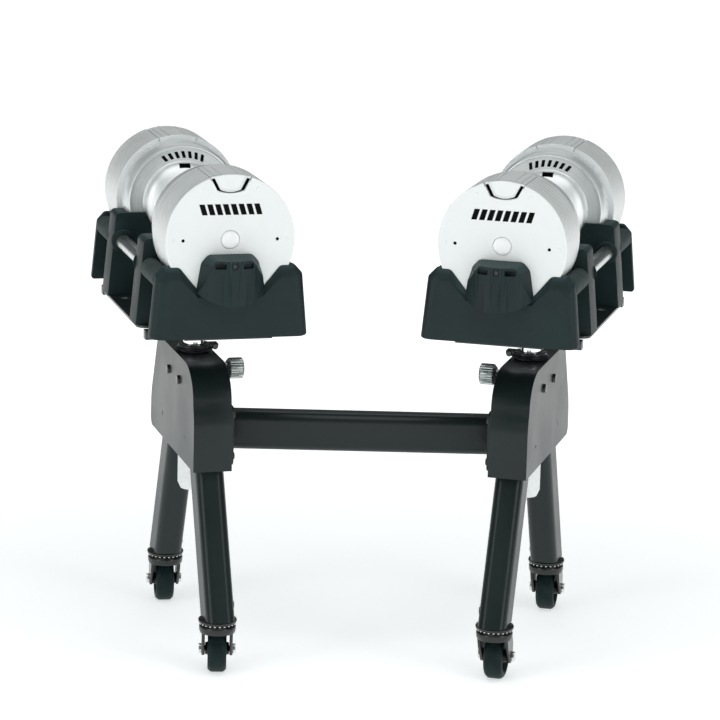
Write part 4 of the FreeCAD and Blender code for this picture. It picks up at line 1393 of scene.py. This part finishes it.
    def build(self, fitter: Fitter, sides: Sequence[SideFrame]) -> None:
        """Builds both cradles.

        Args:
            fitter: Fits the pieces.
            sides: The two halves.
        """
        plastic = Finishes.CRADLE.material()
        ends = {
            "end_wall": (self.end_wall(), "cradle_plastic", plastic),
            "divider": (self.divider(), "cradle_plastic", plastic),
            "rail_bosses": (self.rail_boss(), "cradle_plastic", plastic),
            "lock_screw": (self.lock_screw(), "bolt_black", Finishes.BOLT.material()),
            "rail_sleeve_pair": (self.sleeves(), "sleeve_rubber", Finishes.SLEEVE.material()),
        }
        rails = self.rails()
        for where in sides:
            body = where.name("cradle")
            for end, flip in (("front", Matrix.Identity(4)), ("rear", FRONT_TO_BACK)):
                nodes = {
                    "end_wall": [where.name("end_wall_" + end)],
                    "divider": [where.name("divider_" + end)],
                    "rail_sleeve_pair": [where.name("rail_sleeves")],
                }
                for stem, (master, slot, material) in ends.items():
                    double = Bench.copy(master, where.name(stem + "_" + end + "_piece"), where.matrix @ flip)
                    fitter.fit(double, body, slot, material, *nodes.get(stem, []))
            double = Bench.copy(rails, where.name("rail_pair"), where.matrix)
            fitter.fit(double, body, "rail_steel", Finishes.RAIL.material(where), where.name("rails"))
            fitter.fit_node(where.name("tray"), body, "tray_black", Finishes.TRAY.material(), 0.0006)
            fitter.fit_node(where.name("tray_bolts"), body, "bolt_black", Finishes.BOLT.material(), 0.0008)


# ---------------------------------------------------------------- column and housing

@dataclass
class Column:
    """A lifting column: post, guide, flared collar and knurled clamp knob."""

    collar_radius: float = 0.0225
    collar_bottom: float = 0.420
    collar_top: float = 0.430
    post_radius: float = 0.0155
    knob_z: float = 0.392
    knob_radius: float = 0.015
    knob_inner: float = -0.046
    knob_outer: float = -0.070
    ridges: int = 24

    def collar(self) -> Piece:
        """The collar: a ring on a flared foot, with a split clamping lug."""
        bore = self.post_radius + 0.0001
        profile = [
            (bore, self.collar_bottom), (0.0268, self.collar_bottom + 0.0032),
            (0.0262, self.collar_bottom + 0.0040), (0.0243, self.collar_bottom + 0.0050),
            (0.0230, self.collar_bottom + 0.0064),
            (self.collar_radius, self.collar_bottom + 0.0082),
            (self.collar_radius, self.collar_top - 0.0012),
            (self.collar_radius - 0.0010, self.collar_top), (bore + 0.0010, self.collar_top),
            (bore, self.collar_top - 0.0010),
        ]
        collar = Bench.lathe("collar", profile, 96, ring=True)
        low, top = self.collar_bottom, self.collar_top
        lug = Bench.block("lug", (-0.0335, -0.008, low + 0.004), (-0.019, 0.008, top))
        Bench.ease(lug, 0.0012, 2)
        Bench.combine(collar, lug, "UNION")
        split = Bench.block("split", (-0.035, -0.001, low), (-0.0125, 0.001, top + 0.001))
        Bench.cut(collar, split)
        return Bench.smooth(collar)

    def lug_screw(self) -> Piece:
        """The screw that closes the split lug."""
        profile = [(0.002, 0.018), (0.002, 0.0082), (0.0042, 0.0082)]
        profile += [(0.0042, 0.006), (0.0034, 0.005), (0.0012, 0.005)]
        screw = Bench.copy(Bench.lathe("lug_screw", profile, 32), "lug_screw", ALONG_Y)
        spot = Matrix.Translation((-0.0285, -0.0145, self.collar_top - 0.0045))
        return Bench.smooth(Bench.copy(screw, "lug_screw", spot))

    def knob(self) -> Piece:
        """The clamp knob with ridges along its barrel and a plain shaft."""
        radius = self.knob_radius
        profile = [
            (0.0030, self.knob_outer + 0.0010), (0.0080, self.knob_outer + 0.0008),
            (0.0086, self.knob_outer), (radius - 0.0022, self.knob_outer),
            (radius - 0.0006, self.knob_outer + 0.0010), (radius, self.knob_outer + 0.0022),
            (radius, self.knob_inner - 0.0050), (radius - 0.0006, self.knob_inner - 0.0040),
            (radius - 0.0050, self.knob_inner), (0.0040, self.knob_inner),
            (0.0040, -self.post_radius - 0.0004), (0.0022, -self.post_radius - 0.0004),
            (0.0022, -0.0139),
        ]
        sides = self.ridges * 4
        knob = Bench.lathe("knob", profile, sides)

        def in_groove(point: Vector) -> bool:
            """True for the points of the barrel that sink between two ridges."""
            on_barrel = math.hypot(point.x, point.y) > radius - 0.0012
            step = round((math.atan2(point.y, point.x) % TAU) / TAU * sides)
            return on_barrel and step % 4 in (0, 1)

        Bench.resize_points(knob, in_groove, (0.93, 0.93, 1), (0, 0, 0))
        knob = Bench.copy(knob, "knob", lift(self.knob_z) @ ALONG_X)
        return Bench.smooth(knob, 25)

    def build(self, fitter: Fitter, sides: Sequence[SideFrame]) -> None:
        """Builds both columns.

        Args:
            fitter: Fits the pieces.
            sides: The two halves.
        """
        collar, screw, knob = self.collar(), self.lug_screw(), self.knob()
        for where in sides:
            double = Bench.copy(collar, where.name("split_collar"), where.matrix)
            material = Finishes.COLLAR.material()
            fitter.fit(double, "stand", "collar_black", material, where.name("collar"))
            double = Bench.copy(screw, where.name("lug_screw"), where.matrix)
            fitter.fit(double, "stand", "bolt_black", Finishes.BOLT.material())
            double = Bench.copy(knob, where.name("clamp_knob"), where.matrix)
            fitter.fit(double, where.name("knob"), "knob_steel", Finishes.KNOB.material(), where.name("knob"))
            chrome, silver = Finishes.CHROME.material(), Finishes.GUIDE.material()
            fitter.fit_node(where.name("post"), where.name("cradle"), "post_chrome", chrome)
            fitter.fit_node(where.name("guide"), "stand", "guide_silver", silver)


@dataclass
class Stand:
    """The housings, legs and crossbar."""

    outer_x: float = 0.028
    inner_x: float = -0.026
    wall: float = 0.0035
    front_y: float = -0.135
    bottom_z: float = 0.278
    top_z: float = 0.420
    lip: float = 0.011
    guide_bore: float = 0.0206
    knob_bore: float = 0.0042
    knob_z: float = 0.392
    bolt_y: float = 0.034
    bolt_z: float = 0.386

    def outline(self) -> list[tuple[float, float]]:
        """The housing seen from the side: upright front, curved shoulder, flat top and leaning rear."""
        shoulder = []
        for step in range(17):
            angle = math.radians(90 * step / 16)
            shoulder.append((-0.128 + 0.058 * (1 - math.cos(angle)), 0.372 + 0.048 * math.sin(angle)))
        heel = arc((0.146, 0.290), 0.012, 0, -90, 8)
        front = [(self.front_y, self.bottom_z), (self.front_y, 0.340), (-0.1335, 0.352), (-0.131, 0.362)]
        rear = [(0.106, self.top_z), (0.112, 0.4175), (0.121, 0.403)]
        rear += [(0.140, 0.361), (0.152, 0.335), (0.1565, 0.318)]
        return front + shoulder + rear + heel

    def housing(self) -> Piece:
        """The folded steel housing, open below, with softly bent edges."""
        points = self.outline()
        width = self.outer_x - self.inner_x
        shell = Bench.prism("housing", in_yz(points, self.inner_x), (width, 0, 0))
        Bench.open_faces(shell, lambda face: face.normal.z < -0.9 and face.center.z < self.bottom_z + 0.001)
        Bench.ease(shell, 0.0045, 4, 40)
        Bench.modify(shell, "SOLIDIFY", thickness=self.wall, offset=-1.0, use_even_offset=True)
        Bench.cut(shell, Bench.rod("guide_hole", self.guide_bore, (0, 0, 0.405), (0, 0, 0.45), 96))
        ends = [(-0.06, 0, self.knob_z), (0.0, 0, self.knob_z)]
        Bench.cut(shell, Bench.rod("knob_hole", self.knob_bore, *ends, 32))
        return Bench.smooth(shell, 28)

    def return_lip(self) -> Piece:
        """The narrow lip folded inward along the foot of the housing's front."""
        low = (self.inner_x + self.wall, self.front_y + self.wall - 0.0002, self.bottom_z)
        high = (self.outer_x - self.wall, self.front_y + self.lip, self.bottom_z + self.wall)
        lip = Bench.block("return_lip", low, high)
        Bench.ease(lip, 0.0008, 3)
        return Bench.smooth(lip)

    def bolt_head(self) -> Piece:
        """A button-head bolt with a hexagon socket, along x from its seat at the origin."""
        profile = [
            (0.0062, -0.0004), (0.0064, 0.0004), (0.0060, 0.0018), (0.0050, 0.0030),
            (0.0036, 0.0036), (0.0026, 0.0036), (0.0024, 0.0016), (0.0006, 0.0016),
        ]
        head = Bench.copy(Bench.lathe("bolt_head", profile, 36), "bolt_head", ALONG_X)
        return Bench.smooth(head)

    def build(self, fitter: Fitter, sides: Sequence[SideFrame]) -> None:
        """Builds the fixed frame of the stand.

        Args:
            fitter: Fits the pieces.
            sides: The two halves.
        """
        coat = Finishes.STAND.material()
        housing = self.housing()
        head = self.bolt_head()
        lip = self.return_lip()
        for where in sides:
            double = Bench.copy(housing, where.name("folded_housing"), where.matrix)
            fitter.fit(double, "stand", "stand_black", coat, where.name("housing"))
            fitter.fit(Bench.copy(lip, where.name("return_lip"), where.matrix), "stand", "stand_black", coat)
            for stem, y in (("cheek_bolt_front", -self.bolt_y), ("cheek_bolt_rear", self.bolt_y)):
                spot = where.matrix @ Matrix.Translation((self.outer_x, y, self.bolt_z))
                double = Bench.copy(head, where.name(stem), spot)
                fitter.fit(double, "stand", "bolt_black", Finishes.BOLT.material())
            for row in ("front", "rear"):
                fitter.fit_node(where.name("leg_" + row), "stand", "stand_black", coat)
        fitter.fit_node("crossbar", "stand", "stand_black", coat)
        fitter.fit_node("crossbar_flanges", "stand", "stand_black", coat, 0.0008)
        fitter.fit_node("stand_bolts", "stand", "bolt_black", Finishes.BOLT.material(), 0.0008)


# ---------------------------------------------------------------- casters

@dataclass
class Casters:
    """Four twin-race swivel casters. Each is drawn about its kingpin, trailing along +y."""

    mount_under: float = 0.076
    fork_top: float = 0.0756
    fork_radius: float = 0.0255
    cheek_gap: float = 0.017
    cheek: float = 0.0045
    trail: float = 0.020
    wheel_radius: float = 0.0325
    wheel_half: float = 0.013
    balls: int = 22

    def crown(self) -> Piece:
        """The fork's round crown: two pressed races with a waist, and a skirt below."""
        top, radius = self.fork_top, self.fork_radius
        profile = [
            (0.0052, top), (radius - 0.0035, top), (radius - 0.0022, top - 0.0008),
            (radius - 0.0018, top - 0.0018), (radius - 0.0006, top - 0.0028),
            (radius, top - 0.0042), (radius - 0.0004, top - 0.0100),
            (radius - 0.0014, top - 0.0128), (radius - 0.0040, top - 0.0132),
            (radius - 0.0046, top - 0.0070), (0.0052, top - 0.0064),
        ]
        return Bench.lathe("crown", profile, 72, ring=True)

    def cheek_plate(self) -> Piece:
        """One cheek of the fork, from the crown down to the axle."""
        top = self.fork_top - 0.005
        axle_z = self.wheel_radius
        tip = [
            (self.trail + 0.0095, axle_z, 0.004), (self.trail + 0.0060, axle_z - 0.0090, 0.006),
            (self.trail - 0.0060, axle_z - 0.0090, 0.006), (-0.0070, 0.0500, 0.008),
            (-0.0160, top, 0.0),
        ]
        outline = rounded([(0.018, top, 0.0), (self.trail + 0.0095, 0.050, 0.010)] + tip, 5)
        cheek = Bench.prism("cheek", in_yz(outline, self.cheek_gap), (self.cheek, 0, 0))
        Bench.ease(cheek, 0.0011, 2)
        return cheek

    def fork(self) -> Piece:
        """The fork: its crown and two cheeks, with the axle's bore."""
        fork = self.crown()
        cheek = self.cheek_plate()
        Bench.combine(fork, Bench.copy(cheek, "cheek_left", Matrix.Scale(-1, 4, (1, 0, 0))), "UNION")
        Bench.combine(fork, cheek, "UNION")
        ends = [(-0.03, self.trail, self.wheel_radius), (0.03, self.trail, self.wheel_radius)]
        Bench.cut(fork, Bench.rod("axle_bore", 0.004, *ends, 32))
        return Bench.smooth(fork, 30)

    def ball_race(self) -> Piece:
        """The bearing balls that glint between the mount and the crown."""
        Bench.clear()
        bpy.ops.mesh.primitive_ico_sphere_add(
            subdivisions=2, radius=0.0017, location=(self.fork_radius - 0.0022, 0, self.fork_top + 0.0002)
        )
        ball = Bench.keep_place("ball_race")
        Bench.resize_points(ball, lambda point: True, (1, 1, 0.8), (0, 0, self.fork_top))
        return Bench.smooth(Bench.around(ball, self.balls), 60)

    def mount_ring(self) -> Piece:
        """The mount's pressed dust ring over the race."""
        low, radius = self.mount_under, 0.026
        profile = [
            (0.0120, low + 0.0015), (radius - 0.0040, low + 0.0008),
            (radius - 0.0020, low + 0.0012), (radius + 0.0002, low + 0.0026),
            (radius + 0.0008, low + 0.0042), (radius - 0.0002, low + 0.0058),
            (radius - 0.0034, low + 0.0068), (radius - 0.0052, low + 0.0080),
            (0.0120, low + 0.0080),
        ]
        return Bench.smooth(Bench.lathe("mount_ring", profile, 72, ring=True))

    def tyre(self) -> Piece:
        """The wheel's tyre: a flat tread with bevelled shoulders and rounded walls."""
        radius, half = self.wheel_radius, self.wheel_half
        side = [
            (radius - 0.0115, half - 0.0035), (radius - 0.0095, half - 0.0008),
            (radius - 0.0085, half), (radius - 0.0048, half), (radius - 0.0032, half - 0.0008),
            (radius - 0.0008, half - 0.0036), (radius - 0.0001, half - 0.0052),
            (radius, half - 0.0070),
        ]
        profile = side + [(r, -along) for r, along in reversed(side)]
        return self.at_axle("tyre", Bench.lathe("tyre", profile, 96, ring=True))

    def core(self) -> Piece:
        """The wheel's dished core with its stepped hub, bored for the axle."""
        radius, half, reach = self.wheel_radius, self.wheel_half, self.cheek_gap - 0.0004
        side = [
            (0.0041, reach), (0.0078, reach), (0.0082, reach - 0.0005), (0.0100, half - 0.0030),
            (0.0125, half - 0.0058), (0.0185, half - 0.0058), (0.0205, half - 0.0040),
            (radius - 0.0114, half - 0.0036),
        ]
        profile = side + [(r, -along) for r, along in reversed(side)]
        return self.at_axle("core", Bench.lathe("core", profile, 96, ring=True))

    def at_axle(self, name: str, piece: Piece) -> Piece:
        """A turned wheel piece, laid along x at the axle."""
        spot = Matrix.Translation((0, self.trail, self.wheel_radius)) @ ALONG_X
        return Bench.smooth(Bench.copy(piece, name, spot))

    def build(self, fitter: Fitter) -> None:
        """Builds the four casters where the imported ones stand.

        Args:
            fitter: Fits the pieces.
        """
        fork, balls, ring = self.fork(), self.ball_race(), self.mount_ring()
        tyre, core = self.tyre(), self.core()
        joints = {joint["name"]: joint for joint in frame["joints"]}
        for place in ("front_left", "front_right", "rear_left", "rear_right"):
            pin = Vector(joints["caster_swivel_" + place]["pos_m"])
            roll = joints["wheel_roll_" + place]
            axle = Vector(roll["pos_m"])
            heading = math.atan2(-(axle.x - pin.x), axle.y - pin.y)
            spot = Matrix.Translation((pin.x, pin.y, 0)) @ Matrix.Rotation(heading, 4, "Z")
            names = ("fork_" + place, "wheel_" + place)
            coat = Finishes.CASTER.material()
            fitter.fit(Bench.copy(fork, place + "_fork", spot), names[0], "caster_black", coat, names[0])
            fitter.fit(Bench.copy(ring, place + "_dust_ring", spot), "stand", "caster_black", coat)
            zinc = Finishes.ZINC.material()
            fitter.fit(Bench.copy(balls, place + "_ball_race", spot), "stand", "axle_steel", zinc)
            tread = Finishes.TYRE.material()
            fitter.fit(Bench.copy(tyre, place + "_tyre", spot), names[1], "wheel_black", tread, names[1])
            hub = Finishes.CORE.material()
            fitter.fit(Bench.copy(core, place + "_wheel_core", spot), names[1], "wheel_black", hub)
            fitter.fit_node("axle_" + place, names[0], "axle_steel", zinc, 0.0005)
        fitter.fit_node("caster_mounts", "stand", "caster_black", Finishes.CASTER.material(), 0.0005)


# ---------------------------------------------------------------- studio

@dataclass
class Studio:
    """The camera, the pale floor and the soft light."""

    eye: tuple[float, float, float] = (-0.0387, -4.6177, 1.4364)
    forward: tuple[float, float, float] = (0.00762, 0.97620, -0.21676)
    roll: float = 1.479
    lens: float = 169.05
    sensor: float = 36.0
    floor_half: float = 30.0
    room: float = 0.12

    def camera(self) -> None:
        """Sets the camera, which leans slightly to one side."""
        ahead = Vector(self.forward).normalized()
        level = ahead.cross(Vector((0, 0, 1))).normalized()
        up = level.cross(ahead)
        lean = math.radians(self.roll)
        right = level * math.cos(lean) + up * math.sin(lean)
        top = up * math.cos(lean) - level * math.sin(lean)
        data = bpy.data.cameras.new("camera")
        data.lens = self.lens
        data.sensor_width = self.sensor
        data.clip_end = 100.0
        camera = bpy.data.objects.new("camera", data)
        columns = (right, top, -ahead, Vector(self.eye))
        rows = [[column[row] for column in columns] for row in range(3)]
        camera.matrix_world = Matrix(rows + [[0, 0, 0, 1]])
        bpy.context.scene.collection.objects.link(camera)
        bpy.context.scene.camera = camera

    def floor(self) -> None:
        """Lays the pale floor, which glows more the further it is from the stand."""
        Bench.clear()
        bpy.ops.mesh.primitive_plane_add(size=2 * self.floor_half, location=(0, 0, CAD_BOUNDS[0][2]))
        floor = Bench.keep_place("floor")
        shader = Shader("floor_paper")
        point = shader.position()
        tone = shader.noise(point, 3.0)
        x, y, _ = shader.split(point)
        far = ((x * x + y * y) ** 0.5).between(0.5, 2.2)
        shader.set(
            base_color=shader.blend(tone, (0.90, 0.91, 0.91), (0.92, 0.93, 0.93)),
            emission_color=shader.blend(far, (0.58, 0.60, 0.60), (1.0, 1.0, 1.0)),
            roughness=0.9,
        )
        shader.surface.inputs["Emission Strength"].default_value = 1.0
        shader.surface.inputs["Specular IOR Level"].default_value = 0.0
        floor.data.materials.append(shader.material)
        floor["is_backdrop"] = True

    def lamp(self, name: str, place: Place, aim: Place, size: tuple[float, float], power: float) -> None:
        """Hangs one soft box.

        Args:
            name: Its name.
            place: Where it hangs.
            aim: The point it faces.
            size: Its width and height.
            power: Its power in watts.
        """
        data = bpy.data.lights.new(name, "AREA")
        data.shape = "RECTANGLE"
        data.size, data.size_y = size
        data.energy = power
        lamp = bpy.data.objects.new(name, data)
        lamp.location = place
        lamp.rotation_euler = (Vector(aim) - Vector(place)).to_track_quat("-Z", "Y").to_euler()
        bpy.context.scene.collection.objects.link(lamp)
        lamp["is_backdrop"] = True

    def sky(self) -> None:
        """The dim room above the floor."""
        world = bpy.data.worlds.new("studio")
        world.use_nodes = True
        bpy.context.scene.world = world
        backdrop = world.node_tree.nodes["Background"]
        backdrop.inputs["Color"].default_value = (0.9, 1.0, 1.0, 1)
        backdrop.inputs["Strength"].default_value = self.room

    def build(self) -> None:
        """Sets up the whole studio."""
        self.camera()
        self.floor()
        self.sky()
        middle = (0, 0, 0.45)
        self.lamp("overhead", (0, -1.1, 2.9), middle, (3.0, 2.0), 34)
        self.lamp("left_box", (-3.0, -2.6, 1.3), middle, (1.4, 2.4), 30)
        self.lamp("right_box", (3.0, -2.6, 1.3), middle, (1.4, 2.4), 28)
        self.lamp("front_strip", (0, -6.4, 1.3), middle, (5.0, 1.0), 11)
        self.lamp("back_top", (0, 2.4, 2.6), (0, 0.1, 0.6), (2.4, 1.2), 9)
        bpy.context.scene.view_settings.view_transform = "Standard"


def drop_masters() -> int:
    """Removes the drawn pieces that were only copied, and says how many there were."""
    spare = [
        piece
        for piece in bpy.context.scene.objects
        if piece.type == "MESH" and body_of(piece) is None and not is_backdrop(piece)
    ]
    for piece in spare:
        bpy.data.objects.remove(piece)
    return len(spare)


def main() -> None:
    """Builds the whole scene, sub-assembly by sub-assembly."""
    logging.basicConfig(level=logging.INFO, format="%(name)s: %(message)s")
    sides = [SideFrame.of(side) for side in Side]
    Studio().build()
    fitter = Fitter()
    dumbbell = Dumbbell()
    dumbbell.build(fitter, sides)
    Cradle(dumbbell, sides[0].centre.z).build(fitter, sides)
    Column().build(fitter, sides)
    Stand().build(fitter, sides)
    Casters().build(fitter)
    log.info("%d pieces fitted, %d masters put away", fitter.count, drop_masters())


if __name__ == "__main__":
    main()
